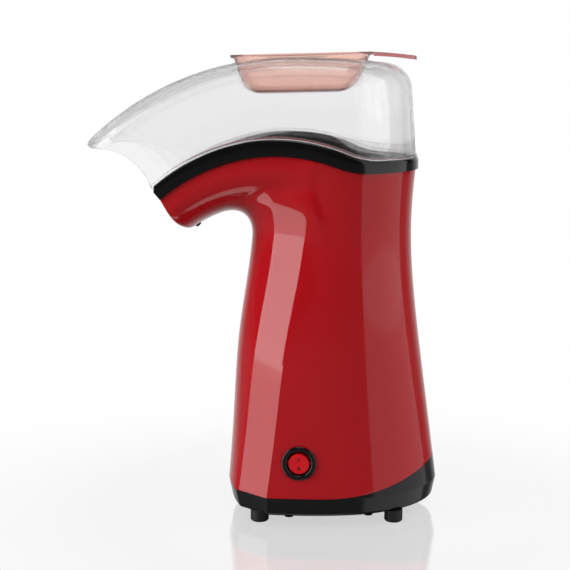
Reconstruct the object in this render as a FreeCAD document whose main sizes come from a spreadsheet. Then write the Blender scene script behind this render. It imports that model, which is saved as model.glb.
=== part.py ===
import FreeCAD, Part
import Sketcher
import math
import os

# Hot-air popcorn maker, in millimetres.
# +Z is up, the spout points to -X and the switch is on the -Y side.
# The origin is on the floor, under the axis of the fan and the popping chamber.

V = FreeCAD.Vector
UP = V(0, 0, 1)

# Driving dimensions. Heights are above the floor and plan positions are from the axis.
SIZES = {
    # Body outline just above the floor
    "low_height": 6.0,
    "low_front": 72.8,
    "low_back": 76.0,
    "low_half_width": 61.8,
    "low_widest_x": -12.0,
    "low_facet_front_x": -63.9,
    "low_facet_front_y": 45.7,
    "low_facet_side_x": -41.6,
    "low_facet_side_y": 62.6,
    # Body outline half way up
    "mid_height": 125.0,
    "mid_front": 64.2,
    "mid_back": 60.0,
    "mid_half_width": 57.6,
    "mid_widest_x": -5.0,
    "mid_facet_front_x": -48.8,
    "mid_facet_front_y": 43.6,
    "mid_facet_side_x": -26.6,
    "mid_facet_side_y": 57.8,
    # Round neck and the flare above it
    "neck_height": 205.0,
    "neck_radius": 54.3,
    "flare_height": 262.0,
    "flare_radius": 59.5,
    "facet_front_angle": 130.0,
    "facet_side_angle": 104.0,
    "housing_wall": 2.5,
    # Wavy top edge of the housing, seen from the side
    "crest_x": -33.0,
    "edge_crest_z": 248.4,
    "edge_crest_radius": 113.0,
    "edge_back_x": 28.0,
    "edge_back_z": 237.4,
    # Spout
    "plan_radius": 56.4,
    "spout_taper": 5.84,
    "spout_root_angle": 28.0,
    "spout_root_depth": 28.8,
    "spout_mouth_depth": 24.4,
    "mouth_angle": 42.8,
    "mouth_lean": 65.0,
    # Seam between base and housing
    "seam_front_z": 21.0,
    "seam_bend_x": 0.0,
    "seam_radius": 161.0,
    # Base
    "base_floor_z": 8.0,
    "base_floor": 2.5,
    "base_wall": 2.5,
    "base_taper": 0.2,
    "base_edge_round": 3.0,
    "base_lip": 4.0,
    "base_lip_wall": 1.8,
    "joint_gap": 0.3,
    "vent_count": 16.0,
    "vent_width": 4.0,
    "vent_inner": 18.0,
    "vent_outer": 31.0,
    # Feet
    "foot_radius": 6.2,
    "foot_chamfer": 0.8,
    "foot_front_x": -46.0,
    "foot_front_y": 45.0,
    "foot_back_x": 45.0,
    "foot_back_y": 38.0,
    "foot_peg_radius": 2.5,
    "peg_gap": 0.1,
    # Screws
    "screw_radius": 1.25,
    "screw_head_radius": 3.0,
    "screw_head": 1.8,
    "screw_slot": 0.8,
    "screw_grip": 12.0,
    "screw_hole_gap": 0.3,
    "pilot_gap": 0.05,
    # Cord inlet bush in the base floor
    "gland_x": 50.0,
    "gland_y": 8.0,
    "gland_radius": 5.5,
    "gland_bore": 3.3,
    "gland_flange": 1.5,
    "gland_flange_reach": 2.0,
    "gland_height": 6.0,
    # Screw posts that join housing and base
    "post_radius": 4.2,
    "post_front_x": -25.0,
    "post_front_y": 56.5,
    "post_back_x": 28.0,
    "post_back_y": 48.5,
    "post_joint_z": 22.6,
    "post_length": 11.0,
    # Fan housing
    "fan_floor_z": 62.0,
    "fan_floor": 2.5,
    "fan_case_radius": 46.0,
    "fan_case_wall": 2.0,
    "fan_case_top": 98.0,
    "fan_shoulder_z": 94.0,
    "fan_shoulder": 3.0,
    "fan_eye": 7.0,
    "inlet_count": 8.0,
    "inlet_radius": 6.0,
    "inlet_circle": 25.0,
    "leg_circle": 38.0,
    "leg_radius": 4.0,
    # Motor
    "motor_radius": 16.0,
    "motor_length": 38.0,
    "motor_wall": 1.2,
    "motor_cap": 5.0,
    "motor_spigot": 2.0,
    "bearing_radius": 3.0,
    "bearing_length": 5.0,
    "bearing_rise": 2.0,
    "fit_gap": 0.02,
    "running_gap": 0.05,
    "shaft_radius": 1.6,
    "shaft_foot": 0.3,
    "armature_radius": 11.0,
    "armature_length": 20.0,
    "armature_rise": 10.0,
    "armature_slots": 5.0,
    "armature_slot_radius": 1.8,
    "commutator_radius": 4.5,
    "commutator_length": 5.0,
    "commutator_rise": 3.0,
    "magnet_gap": 0.8,
    "magnet_span": 120.0,
    "magnet_length": 24.0,
    "motor_screw_circle": 10.0,
    "motor_screw_head": 1.4,
    "board_length": 28.0,
    "board_width": 20.0,
    "board_thickness": 1.6,
    "diode_radius": 1.4,
    "diode_length": 6.0,
    "diode_pitch": 5.0,
    # Fan
    "fan_radius": 38.0,
    "fan_rise": 2.6,
    "fan_height": 16.0,
    "fan_plate": 1.5,
    "fan_hub_radius": 6.0,
    "fan_blades": 12.0,
    "fan_blade_wall": 1.2,
    "fan_blade_root": 12.0,
    # Air duct
    "duct_wall": 1.2,
    "duct_flange": 1.5,
    "duct_flange_radius": 49.5,
    # Heater
    "heater_height": 28.0,
    "heater_sheet": 1.0,
    "heater_edge_gap": 0.4,
    "coil_radius": 30.0,
    "coil_tube": 2.4,
    "coil_low": 8.0,
    "coil_pitch": 12.0,
    # Heat cut-outs on the duct
    "cutout_height": 112.0,
    "thermostat_radius": 7.0,
    "thermostat_depth": 6.4,
    "fuse_radius": 2.0,
    "fuse_length": 12.0,
    "cutout_gap": 0.2,
    # Popping chamber
    "chamber_radius": 41.0,
    "chamber_wall": 1.0,
    "chamber_bottom_z": 134.0,
    "chamber_bevel": 4.0,
    "chamber_bevel_height": 6.0,
    "chamber_flange": 1.2,
    "chamber_flange_radius": 50.0,
    "louvre_count": 20.0,
    "louvre_width": 1.4,
    "louvre_height": 14.0,
    "louvre_rise": 9.0,
    "gasket": 2.0,
    # Chute deck
    "deck_z": 232.0,
    "deck": 2.0,
    "deck_gap": 2.6,
    "deck_bend": 72.0,
    "deck_end_angle": 53.0,
    # Screw under the spout lip
    "lip_screw_angle": 45.6,
    "lip_screw_radius": 1.2,
    "lip_screw_head_radius": 2.2,
    "lip_screw_head": 1.6,
    "lip_screw_sink": 0.5,
    "lip_boss_radius": 3.2,
    "lip_boss_gap": 1.0,
    # Collar
    "collar_radius": 58.3,
    "collar_crest_height": 10.6,
    "collar_back_height": 7.8,
    "collar_crest_radius": 119.0,
    "collar_back_x": 35.0,
    "collar_inner_reach": 6.4,
    "housing_tongue": 3.0,
    "lid_seat": 2.6,
    # Lid
    "lid_radius": 56.6,
    "lid_draft": 4.0,
    "lid_wall": 2.4,
    "lid_crest_x": -25.0,
    "lid_crest_z": 311.5,
    "lid_front_radius": 200.0,
    "lid_back_radius": 540.0,
    "lid_round": 16.0,
    "lid_tip_x": -166.5,
    "lid_mouth_sag": 6.5,
    "lid_bead": 1.0,
    "lid_bead_height": 2.0,
    "lid_gap": 0.3,
    # Measuring cup
    "cup_length": 92.0,
    "cup_width": 56.0,
    "cup_x": -20.0,
    "cup_depth": 23.5,
    "cup_tilt": 1.4,
    "cup_wall": 1.8,
    "cup_corner": 11.0,
    "cup_front_slope": 8.0,
    "cup_back_slope": 13.0,
    "cup_side_slope": 6.0,
    "cup_bottom_round": 8.0,
    "cup_rim": 2.2,
    "cup_rim_reach": 2.0,
    "cup_opening_gap": 0.8,
    "cup_seat_wall": 2.0,
    "cup_seat_gap": 0.3,
    "handle_length": 30.0,
    "handle_width": 22.0,
    "handle_thickness": 2.0,
    "handle_droop": 3.4,
    "handle_round": 8.0,
    # Rocker switch
    "switch_x": -18.0,
    "switch_z": 45.7,
    "switch_lean": 2.6,
    "switch_seat": 0.6,
    "bezel_radius": 11.5,
    "bezel_height": 2.2,
    "bezel_chamfer": 0.5,
    "switch_radius": 10.0,
    "switch_depth": 15.4,
    "switch_hole_gap": 0.2,
    "switch_well_radius": 8.2,
    "switch_well": 9.0,
    "rocker_radius": 7.0,
    "rocker_thickness": 5.2,
    "rocker_proud": 1.0,
    "rocker_tilt": 9.0,
    "rocker_axis_depth": 2.6,
    "rocker_pin_radius": 1.25,
    "rocker_pin_reach": 9.3,
    "blade_width": 4.8,
    "blade_thickness": 0.8,
    "blade_length": 7.0,
    "blade_pitch": 8.0,
}

doc = FreeCAD.newDocument("popcorn_maker")
size = doc.addObject("Spreadsheet::Sheet", "size")
for row, (name, value) in enumerate(SIZES.items(), start=1):
    cell = "A%d" % row
    size.set(cell, str(value))
    size.setAlias(cell, name)
doc.recompute()

pieces = []


def number(expression):
    """Value of an expression over the sheet, such as size.deck_z + size.deck."""
    return float(size.evalExpression(expression))


def got(name):
    """Value of one named size."""
    return float(size.get(name))


def keep(piece, label):
    """Give a finished piece its name and put it on the list of pieces to write."""
    piece.Label = label
    pieces.append(piece)
    return piece


# Helpers for pieces made from bound sketches


def new_body(name):
    return doc.addObject("PartDesign::Body", name)


def plane_of(body, role):
    for feature in body.Origin.OriginFeatures:
        if feature.Role == role:
            return feature
    raise ValueError(role)


def new_sketch(body, role, height="0"):
    """Empty sketch on an origin plane of its body, lifted along the plane's normal."""
    sketch = body.newObject("Sketcher::SketchObject", body.Name + "_sketch")
    sketch.AttachmentSupport = [(plane_of(body, role), "")]
    sketch.MapMode = "FlatFace"
    sketch.AttachmentOffset = FreeCAD.Placement(V(0, 0, number(height)), FreeCAD.Rotation())
    sketch.setExpression(".AttachmentOffset.Base.z", height)
    return sketch


def pin_point(sketch, edge, end, across, along):
    """Hold one sketch point at a bound distance from both sketch axes."""
    for kind, axis, expression in (("DistanceX", -2, across), ("DistanceY", -1, along)):
        if expression == "0":
            sketch.addConstraint(Sketcher.Constraint("PointOnObject", edge, end, axis))
            continue
        place = Sketcher.Constraint(kind, -1, 1, edge, end, number(expression))
        index = sketch.addConstraint(place)
        sketch.setExpression("Constraints[%d]" % index, expression)


def add_outline(sketch, corners):
    """Closed outline of straight edges, each corner a pair of bound distances."""
    points = [V(number(across), number(along), 0) for across, along in corners]
    first = sketch.GeometryCount
    count = len(points)
    for i in range(count):
        sketch.addGeometry(Part.LineSegment(points[i], points[(i + 1) % count]))
    for i in range(count):
        after = first + (i + 1) % count
        sketch.addConstraint(Sketcher.Constraint("Coincident", first + i, 2, after, 1))
    for i, (across, along) in enumerate(corners):
        pin_point(sketch, first + i, 1, across, along)


def add_circle(sketch, across, along, radius):
    """Circle with a bound centre and radius."""
    centre = V(number(across), number(along), 0)
    edge = sketch.addGeometry(Part.Circle(centre, UP, number(radius)))
    pin_point(sketch, edge, 3, across, along)
    index = sketch.addConstraint(Sketcher.Constraint("Radius", edge, number(radius)))
    sketch.setExpression("Constraints[%d]" % index, radius)


def turn(body, corners, angle="360"):
    """Turn an outline drawn in the XZ plane about the body's Z axis."""
    sketch = new_sketch(body, "XZ_Plane")
    add_outline(sketch, corners)
    turned = body.newObject("PartDesign::Revolution", body.Name + "_turned")
    turned.Profile = sketch
    turned.ReferenceAxis = (sketch, ["V_Axis"])
    turned.Angle = number(angle)
    turned.setExpression("Angle", angle)
    return turned


def pad(body, sketch, length):
    """Raise a sketch along +Z."""
    raised = body.newObject("PartDesign::Pad", body.Name + "_pad")
    raised.Profile = sketch
    raised.Length = number(length)
    raised.setExpression("Length", length)
    return raised


def cut_up(body, sketch, length):
    """Cut a sketch away along +Z."""
    pocket = body.newObject("PartDesign::Pocket", body.Name + "_pocket")
    pocket.Profile = sketch
    pocket.Reversed = True
    pocket.Length = number(length)
    pocket.setExpression("Length", length)
    return pocket


def repeat_round(body, features, count):
    """Repeat features evenly about the body's Z axis."""
    pattern = body.newObject("PartDesign::PolarPattern", body.Name + "_pattern")
    pattern.Originals = features
    axis = [f for f in body.Origin.OriginFeatures if f.Role == "Z_Axis"][0]
    pattern.Axis = (axis, [""])
    pattern.Angle = 360
    pattern.Occurrences = int(number(count))
    pattern.setExpression("Occurrences", count)
    body.Tip = pattern
    return pattern


def place(item, across="0", along="0", height="0"):
    """Bind where an item stands."""
    item.Placement = FreeCAD.Placement(V(number(across), number(along), number(height)), FreeCAD.Rotation())
    item.setExpression(".Placement.Base.x", across)
    item.setExpression(".Placement.Base.y", along)
    item.setExpression(".Placement.Base.z", height)
    return item


def turned_piece(label, corners, angle="360"):
    body = new_body(label)
    turn(body, corners, angle)
    return keep(body, label)


def group(label, items):
    """Several equal solids that share one node."""
    compound = doc.addObject("Part::Compound", label)
    compound.Links = items
    return keep(compound, label)


def primitive(kind, name, **bound):
    """Part primitive with every given size bound to an expression."""
    item = doc.addObject(kind, name)
    for key, expression in bound.items():
        setattr(item, key, number(expression))
        item.setExpression(key, expression)
    return item


def free_shape(label, shape):
    """Piece whose curved form is worked out from the sheet by the functions below."""
    feature = doc.addObject("Part::Feature", label)
    feature.Shape = shape
    feature.Placement = FreeCAD.Placement()
    return keep(feature, label)


# Helpers for the curved shells


def inset_points(points, inset):
    """Move a half outline inwards by the same distance everywhere."""
    normals = []
    for start, end in zip(points, points[1:]):
        run = math.hypot(end[0] - start[0], end[1] - start[1])
        normals.append(((end[1] - start[1]) / run, (start[0] - end[0]) / run))
    moved = [(points[0][0] + inset, 0.0)]
    for i in range(1, len(points) - 1):
        sum_x = normals[i - 1][0] + normals[i][0]
        sum_y = normals[i - 1][1] + normals[i][1]
        reach = 2 * inset / (sum_x ** 2 + sum_y ** 2)
        moved.append((points[i][0] - reach * sum_x, points[i][1] - reach * sum_y))
    moved.append((points[-1][0] - inset, 0.0))
    return moved


def body_section(height, front, back, facet_front, facet_side, widest_x, half_width, inset):
    """Plan outline of the body: round front, a flat facet each side, oval sides and back."""
    near_side = 0.12
    near_back = 0.62
    half = [(-front, 0.0), (facet_front[0], -facet_front[1]), (facet_side[0], -facet_side[1])]
    for share in (near_side, near_back):
        reach = back - widest_x
        half.append((widest_x + share * reach, -half_width * math.sqrt(1 - share ** 2)))
    half.append((back, 0.0))
    half = inset_points(half, inset)
    near = [V(x, y, height) for x, y in half]
    far = [V(x, -y, height) for x, y in half]
    round_side = Part.BSplineCurve()
    round_side.interpolate(near[2:] + far[4:1:-1])
    return Part.Wire([
        Part.Arc(far[1], near[0], near[1]).toShape(),
        Part.LineSegment(near[1], near[2]).toShape(),
        round_side.toShape(),
        Part.LineSegment(far[2], far[1]).toShape(),
    ])


def oval_section(share, inset):
    """Body outline part of the way up from the low row of sizes (0) to the mid row (1)."""

    def between(name):
        return got("low_" + name) + share * (got("mid_" + name) - got("low_" + name))

    return body_section(
        between("height"), between("front"), between("back"),
        (between("facet_front_x"), between("facet_front_y")),
        (between("facet_side_x"), between("facet_side_y")),
        between("widest_x"), between("half_width"), inset)


def round_section(height, radius, inset):
    """Body outline where it is round, with the facets as two short chords."""
    corners = []
    for angle in (got("facet_front_angle"), got("facet_side_angle")):
        turn_by = math.radians(angle)
        corners.append((radius * math.cos(turn_by), radius * math.sin(turn_by)))
    return body_section(height, radius, radius, corners[0], corners[1], 0.0, radius, inset)


seam_share = number("(size.seam_front_z - size.low_height) / (size.mid_height - size.low_height)")


def body_block(inset):
    """Body from the front of the seam up through the neck, without the spout."""
    return Part.makeLoft([
        oval_section(seam_share, inset),
        oval_section(0.5, inset),
        oval_section(1.0, inset),
        round_section(got("neck_height"), got("neck_radius"), inset),
        round_section(got("flare_height"), got("flare_radius"), inset),
    ], True)


bend_x = got("crest_x")
bend_z = got("edge_crest_z") - got("edge_crest_radius")
taper = math.radians(got("spout_taper"))


def side_reach(radius, x):
    """Half width at x of a plan outline that is round at the back and narrows to the spout."""
    return (radius + x * math.sin(taper)) / math.cos(taper)


def on_bend(angle, radius, y=0.0):
    """Point at an angle in front of the crest, on a circle about the bend of the spout."""
    turn_by = math.radians(angle)
    return V(bend_x - radius * math.sin(turn_by), y, bend_z + radius * math.cos(turn_by))


trough_roundness = 2.3
trough_wall_foot = got("edge_crest_radius") - 5.0


def spout_bottom(angle):
    """Distance of the spout's underside from the bend: it deepens evenly towards the root."""
    share = (angle - got("spout_root_angle")) / (got("mouth_angle") - got("spout_root_angle"))
    depth = got("spout_root_depth") + share * (got("spout_mouth_depth") - got("spout_root_depth"))
    return got("edge_crest_radius") - depth


def spout_half_width(angle, inset):
    """Half width of the spout at its top edge."""
    return side_reach(got("plan_radius"), on_bend(angle, got("edge_crest_radius")).x) - inset


def spout_section(angle, inset):
    """Trough section square to the bend: upright sides over a full round bottom."""
    steps = (0.0, 22.5, 45.0, 67.5, 90.0)
    top = got("edge_crest_radius") + 22.0
    half = spout_half_width(angle, inset)
    depth = trough_wall_foot - spout_bottom(angle) - inset
    near = []
    for step in steps:
        bend = math.radians(step)
        across = half * max(0.0, math.cos(bend)) ** (2 / trough_roundness)
        near.append((across, trough_wall_foot - depth * math.sin(bend) ** (2 / trough_roundness)))
    points = [on_bend(angle, radius, -across) for across, radius in near]
    points += [on_bend(angle, radius, across) for across, radius in near[-2::-1]]
    inwards = on_bend(angle, 0) - on_bend(angle, 1)
    bottom_curve = Part.BSplineCurve()
    bottom_curve.interpolate(Points=points, InitialTangent=inwards, FinalTangent=inwards * -1)
    return Part.Wire([
        Part.LineSegment(on_bend(angle, top, half), on_bend(angle, top, -half)).toShape(),
        Part.LineSegment(on_bend(angle, top, -half), points[0]).toShape(),
        bottom_curve.toShape(),
        Part.LineSegment(points[-1], on_bend(angle, top, half)).toShape(),
    ])


def spout_angles():
    """Stations round the bend, from inside the neck to past the mouth."""
    first = -12.8
    last = got("mouth_angle") + 17.0
    count = 7
    return [first + (last - first) * i / (count - 1) for i in range(count)]


def spout_block(inset):
    """Spout from inside the neck to past its mouth."""
    return Part.makeLoft([spout_section(angle, inset) for angle in spout_angles()], True)


def wave_edges(crest_z, crest_radius, back_x, back_z, front_x, far_x):
    """Side view of a wavy edge: convex arc over the crest, concave arc, level back."""
    crest = V(got("crest_x"), 0, crest_z)
    across = back_x - crest.x
    drop = crest_z - back_z
    bend = 2 * math.atan2(drop, across)
    hollow_radius = across / math.sin(bend) - crest_radius
    centre = crest - UP * crest_radius
    hollow_centre = V(back_x, 0, back_z + hollow_radius)

    def over(angle):
        return centre + V(math.sin(angle), 0, math.cos(angle)) * crest_radius

    def under(angle):
        return hollow_centre - V(math.sin(angle), 0, math.cos(angle)) * hollow_radius

    front_angle = -math.asin((crest.x - front_x) / crest_radius)
    return [
        Part.Arc(over(front_angle), over(front_angle / 2), crest).toShape(),
        Part.Arc(crest, over(bend / 2), over(bend)).toShape(),
        Part.Arc(under(bend), under(bend / 2), V(back_x, 0, back_z)).toShape(),
        Part.LineSegment(V(back_x, 0, back_z), V(far_x, 0, back_z)).toShape(),
    ]


far_out = 400.0
wave_reach = 0.82


def across_y(edges):
    """Slab across the whole width whose side view is a closed run of edges."""
    face = Part.Face(Part.Wire(edges))
    face.translate(V(0, -far_out / 2, 0))
    return face.extrude(V(0, far_out, 0))


def close_run(edges, level):
    """Close a side view run down or up to a level line."""
    start = edges[0].valueAt(edges[0].FirstParameter)
    end = edges[-1].valueAt(edges[-1].LastParameter)
    corner_end = V(end.x, 0, level)
    corner_start = V(start.x, 0, level)
    return edges + [
        Part.LineSegment(end, corner_end).toShape(),
        Part.LineSegment(corner_end, corner_start).toShape(),
        Part.LineSegment(corner_start, start).toShape(),
    ]


def under_edge(lift):
    """Everything under the housing's top edge, lifted by some height."""
    front = got("crest_x") - wave_reach * (got("edge_crest_radius") + lift)
    edges = wave_edges(got("edge_crest_z") + lift, got("edge_crest_radius") + lift,
                       got("edge_back_x"), got("edge_back_z") + lift, front, far_out)
    return across_y(close_run(edges, -far_out))


def under_collar(lift):
    """Everything under the collar's top edge, lifted by some height."""
    front = got("crest_x") - wave_reach * (got("collar_crest_radius") + lift)
    edges = wave_edges(got("edge_crest_z") + got("collar_crest_height") + lift,
                       got("collar_crest_radius") + lift, got("collar_back_x"),
                       got("edge_back_z") + got("collar_back_height") + lift, front, far_out)
    return across_y(close_run(edges, -far_out))


def under_seam(lift):
    """Everything under the seam between base and housing, lifted by some height."""
    start = V(-far_out, 0, got("seam_front_z") + lift)
    bend = V(got("seam_bend_x"), 0, got("seam_front_z") + lift)
    centre = bend + UP * got("seam_radius")

    def rise(angle):
        return centre + V(math.sin(angle), 0, -math.cos(angle)) * got("seam_radius")

    half_turn = math.radians(45)
    edges = [Part.LineSegment(start, bend).toShape(),
             Part.Arc(bend, rise(half_turn / 2), rise(half_turn)).toShape()]
    return across_y(close_run(edges, -far_out))


def mouth_front():
    """Everything in front of the leaning mouth of the spout."""
    top = on_bend(got("mouth_angle"), got("edge_crest_radius") + got("collar_crest_height"))
    lean = math.radians(got("mouth_lean"))
    along = V(math.cos(lean), 0, -math.sin(lean))
    high = top - along * 20
    low = top + along * 50
    corners = [high, low, V(low.x, 0, 0), V(-far_out, 0, 0), V(-far_out, 0, high.z)]
    return across_y(Part.makePolygon(corners + corners[:1]).Edges)


def box_between(low, high):
    return Part.makeBox(high[0] - low[0], high[1] - low[1], high[2] - low[2], V(*low))


def upright(x, y, low, high, radius):
    """Upright cylinder between two heights."""
    return Part.makeCylinder(radius, high - low, V(x, y, low))


def both_sides(x_name, y_name):
    """A mirrored pair of plan positions."""
    return [(got(x_name), -got(y_name)), (got(x_name), got(y_name))]


post_places = both_sides("post_front_x", "post_front_y") + both_sides("post_back_x", "post_back_y")
foot_places = both_sides("foot_front_x", "foot_front_y") + both_sides("foot_back_x", "foot_back_y")
leg_places = []
for quarter in range(4):
    leg_angle = math.radians(45 + 90 * quarter)
    leg_places.append((got("leg_circle") * math.cos(leg_angle), got("leg_circle") * math.sin(leg_angle)))

wall = got("housing_wall")
gap = got("joint_gap")
floor_low = got("base_floor_z")
floor_top = floor_low + got("base_floor")
body_outer = body_block(0.0)
body_inner = body_block(wall)


# Base: moulded tray that carries the works, stands on the feet and closes the housing below


def base_block(inset):
    """Tray form: drawn in from the seam down to the floor, with the body's own sides above."""
    top = oval_section(seam_share, inset)
    drop = got("seam_front_z") - floor_low
    low = oval_section(seam_share, inset + got("base_taper") * drop)
    low.translate(UP * -drop)
    return Part.makeLoft([low, top], True, True).fuse(body_block(inset))


def make_base():
    lip_inset = wall + gap
    lip_inside = lip_inset + got("base_lip_wall")
    above_floor = box_between((-far_out, -far_out, floor_top), (far_out, far_out, far_out))
    outside = base_block(0.0).common(under_seam(0.0))
    bottom = [e for e in outside.Edges if e.BoundBox.ZMax < floor_low + 0.01]
    outside = outside.makeFillet(got("base_edge_round"), bottom)
    plug = base_block(lip_inset).common(under_seam(got("base_lip")).common(above_floor))
    hollow = base_block(lip_inside).common(under_seam(2 * got("base_lip")).common(above_floor))
    wide = base_block(got("base_wall")).common(under_seam(-got("base_lip")).common(above_floor))
    bosses = []
    holes = []
    for x, y in post_places:
        bosses.append(upright(x, y, floor_low, got("post_joint_z") - gap / 2, got("post_radius")))
        holes.append(upright(x, y, got("post_joint_z") - gap / 2, far_out / 4, got("post_radius") + gap))
    for x, y in post_places + leg_places:
        holes.append(upright(x, y, 0, far_out / 4, got("screw_radius") + got("screw_hole_gap")))
    for x, y in foot_places:
        holes.append(upright(x, y, 0, floor_top + 1, got("foot_peg_radius") + got("peg_gap")))
    inlet_radius = got("gland_radius") + got("peg_gap")
    holes.append(upright(got("gland_x"), got("gland_y"), 0, floor_top + 1, inlet_radius))
    vents = int(got("vent_count"))
    for step in range(vents):
        half = got("vent_width") / 2
        vent = box_between((got("vent_inner"), -half, floor_low - 1), (got("vent_outer"), half, floor_top + 1))
        vent.rotate(V(0, 0, 0), UP, 360.0 * step / vents)
        holes.append(vent)
    hollow = hollow.fuse(wide).cut(bosses)
    return outside.fuse(plug).cut(hollow).cut(holes)


free_shape("base", make_base())


# Feet: four rubber pads, each with a peg pressed into the base floor

feet = []
for index, (x, y) in enumerate(foot_places):
    corner = "front" if index < 2 else "back"
    sign = "-" if index % 2 == 0 else ""
    foot = new_body("foot_%d" % (index + 1))
    turn(foot, [("0", "0"),
                ("size.foot_radius - size.foot_chamfer", "0"),
                ("size.foot_radius", "size.foot_chamfer"),
                ("size.foot_radius", "size.base_floor_z"),
                ("size.foot_peg_radius", "size.base_floor_z"),
                ("size.foot_peg_radius", "size.base_floor_z + size.base_floor"),
                ("0", "size.base_floor_z + size.base_floor")])
    place(foot, "size.foot_%s_x" % corner, "%ssize.foot_%s_y" % (sign, corner))
    feet.append(foot)
group("feet", feet)


# Cord inlet: flanged bush in the base floor near the back

gland = turned_piece("cord_gland", [
    ("size.gland_bore", "size.base_floor_z - size.gland_flange"),
    ("size.gland_radius + size.gland_flange_reach", "size.base_floor_z - size.gland_flange"),
    ("size.gland_radius + size.gland_flange_reach", "size.base_floor_z"),
    ("size.gland_radius", "size.base_floor_z"),
    ("size.gland_radius", "size.base_floor_z + size.base_floor + size.gland_height"),
    ("size.gland_bore", "size.base_floor_z + size.base_floor + size.gland_height")])
place(gland, "size.gland_x", "size.gland_y")


# Screws up through the base floor: four hold the fan housing's legs, four the housing's posts


def screw_body(name, seat, tip):
    """Pan head screw that points up, with its head under the seat."""
    screw = new_body(name)
    turn(screw, [("0", seat + " - size.screw_head"),
                 ("size.screw_head_radius", seat + " - size.screw_head"),
                 ("size.screw_head_radius", seat),
                 ("size.screw_radius", seat),
                 ("size.screw_radius", tip),
                 ("0", tip)])
    slot = new_sketch(screw, "XY_Plane", seat + " - size.screw_head")
    half = "size.screw_slot / 2"
    reach = "size.screw_head_radius * 0.8"
    add_outline(slot, [("-" + reach, "-" + half), (reach, "-" + half), (reach, half), ("-" + reach, half)])
    cut_up(screw, slot, "size.screw_head / 2")
    return screw


floor_seat = "size.base_floor_z"
base_screws = []
for quarter in range(4):
    screw = screw_body("base_screw_%d" % (quarter + 1), floor_seat,
                       "size.base_floor_z + size.base_floor + size.screw_grip")
    angle = "(%d deg)" % (45 + 90 * quarter)
    place(screw, "size.leg_circle * cos%s" % angle, "size.leg_circle * sin%s" % angle)
    base_screws.append(screw)
group("base_screws", base_screws)

housing_screws = []
for index in range(4):
    corner = "front" if index < 2 else "back"
    sign = "-" if index % 2 == 0 else ""
    screw = screw_body("housing_screw_%d" % (index + 1), floor_seat,
                       "size.post_joint_z + size.post_length - 2 * size.screw_radius")
    place(screw, "size.post_%s_x" % corner, "%ssize.post_%s_y" % (sign, corner))
    housing_screws.append(screw)
group("housing_screws", housing_screws)


# Fan housing: cup on four legs, with the motor under its floor and the fan inside

fan_case = new_body("fan_housing")
turn(fan_case, [
    ("size.fan_eye", "size.fan_floor_z"),
    ("size.fan_case_radius", "size.fan_floor_z"),
    ("size.fan_case_radius", "size.fan_shoulder_z - size.fan_shoulder"),
    ("size.fan_case_radius + size.fan_shoulder", "size.fan_shoulder_z - size.fan_shoulder"),
    ("size.fan_case_radius + size.fan_shoulder", "size.fan_shoulder_z"),
    ("size.fan_case_radius", "size.fan_shoulder_z"),
    ("size.fan_case_radius", "size.fan_case_top"),
    ("size.fan_case_radius - size.fan_case_wall", "size.fan_case_top"),
    ("size.fan_case_radius - size.fan_case_wall", "size.fan_floor_z + size.fan_floor"),
    ("size.fan_eye", "size.fan_floor_z + size.fan_floor")])
leg_foot = "size.base_floor_z + size.base_floor"
leg_x = "size.leg_circle * cos(45 deg)"
leg_y = "size.leg_circle * sin(45 deg)"
leg_sketch = new_sketch(fan_case, "XY_Plane", leg_foot)
add_circle(leg_sketch, leg_x, leg_y, "size.leg_radius")
leg = pad(fan_case, leg_sketch, "size.fan_floor_z + size.fan_floor / 2 - (%s)" % leg_foot)
doc.recompute()
pilot_sketch = new_sketch(fan_case, "XY_Plane", leg_foot)
add_circle(pilot_sketch, leg_x, leg_y, "size.screw_radius + size.pilot_gap")
pilot = cut_up(fan_case, pilot_sketch, "size.screw_grip + size.screw_radius")
repeat_round(fan_case, [leg, pilot], "4")
inlet_sketch = new_sketch(fan_case, "XY_Plane", "size.fan_floor_z")
add_circle(inlet_sketch, "size.inlet_circle", "0", "size.inlet_radius")
inlet = cut_up(fan_case, inlet_sketch, "size.fan_floor")
repeat_round(fan_case, [inlet], "size.inlet_count")
motor_hole_sketch = new_sketch(fan_case, "XY_Plane", "size.fan_floor_z")
add_circle(motor_hole_sketch, "0", "size.motor_screw_circle", "size.screw_radius + size.screw_hole_gap")
motor_hole = cut_up(fan_case, motor_hole_sketch, "size.fan_floor")
repeat_round(fan_case, [motor_hole], "2")
keep(fan_case, "fan_housing")


# Motor: drawn steel can with two magnets, closed below by an end cap, hung under the fan floor

can_low = "(size.fan_floor_z - size.motor_length)"
can_inner = "size.motor_radius - size.motor_wall"
bush_seat = "size.bearing_radius + size.fit_gap"
motor_can = new_body("motor_can")
turn(motor_can, [
    (bush_seat, "size.fan_floor_z - size.motor_wall"),
    (can_inner, "size.fan_floor_z - size.motor_wall"),
    (can_inner, can_low),
    ("size.motor_radius", can_low),
    ("size.motor_radius", "size.fan_floor_z"),
    (bush_seat, "size.fan_floor_z")])
can_hole_sketch = new_sketch(motor_can, "XY_Plane", "size.fan_floor_z - size.motor_wall")
add_circle(can_hole_sketch, "0", "size.motor_screw_circle", "size.screw_radius + size.pilot_gap")
can_hole = cut_up(motor_can, can_hole_sketch, "size.motor_wall")
repeat_round(motor_can, [can_hole], "2")
keep(motor_can, "motor_can")

cap_low = "(%s - size.motor_cap)" % can_low
pocket_low = "(%s + size.motor_cap * 0.3)" % cap_low
turned_piece("motor_end_cap", [
    ("0", cap_low),
    ("size.motor_radius", cap_low),
    ("size.motor_radius", can_low),
    (can_inner + " - size.fit_gap", can_low),
    (can_inner + " - size.fit_gap", can_low + " + size.motor_spigot"),
    (bush_seat, can_low + " + size.motor_spigot"),
    (bush_seat, pocket_low),
    ("0", pocket_low)])

shaft_bore = "size.shaft_radius + size.running_gap"


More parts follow.
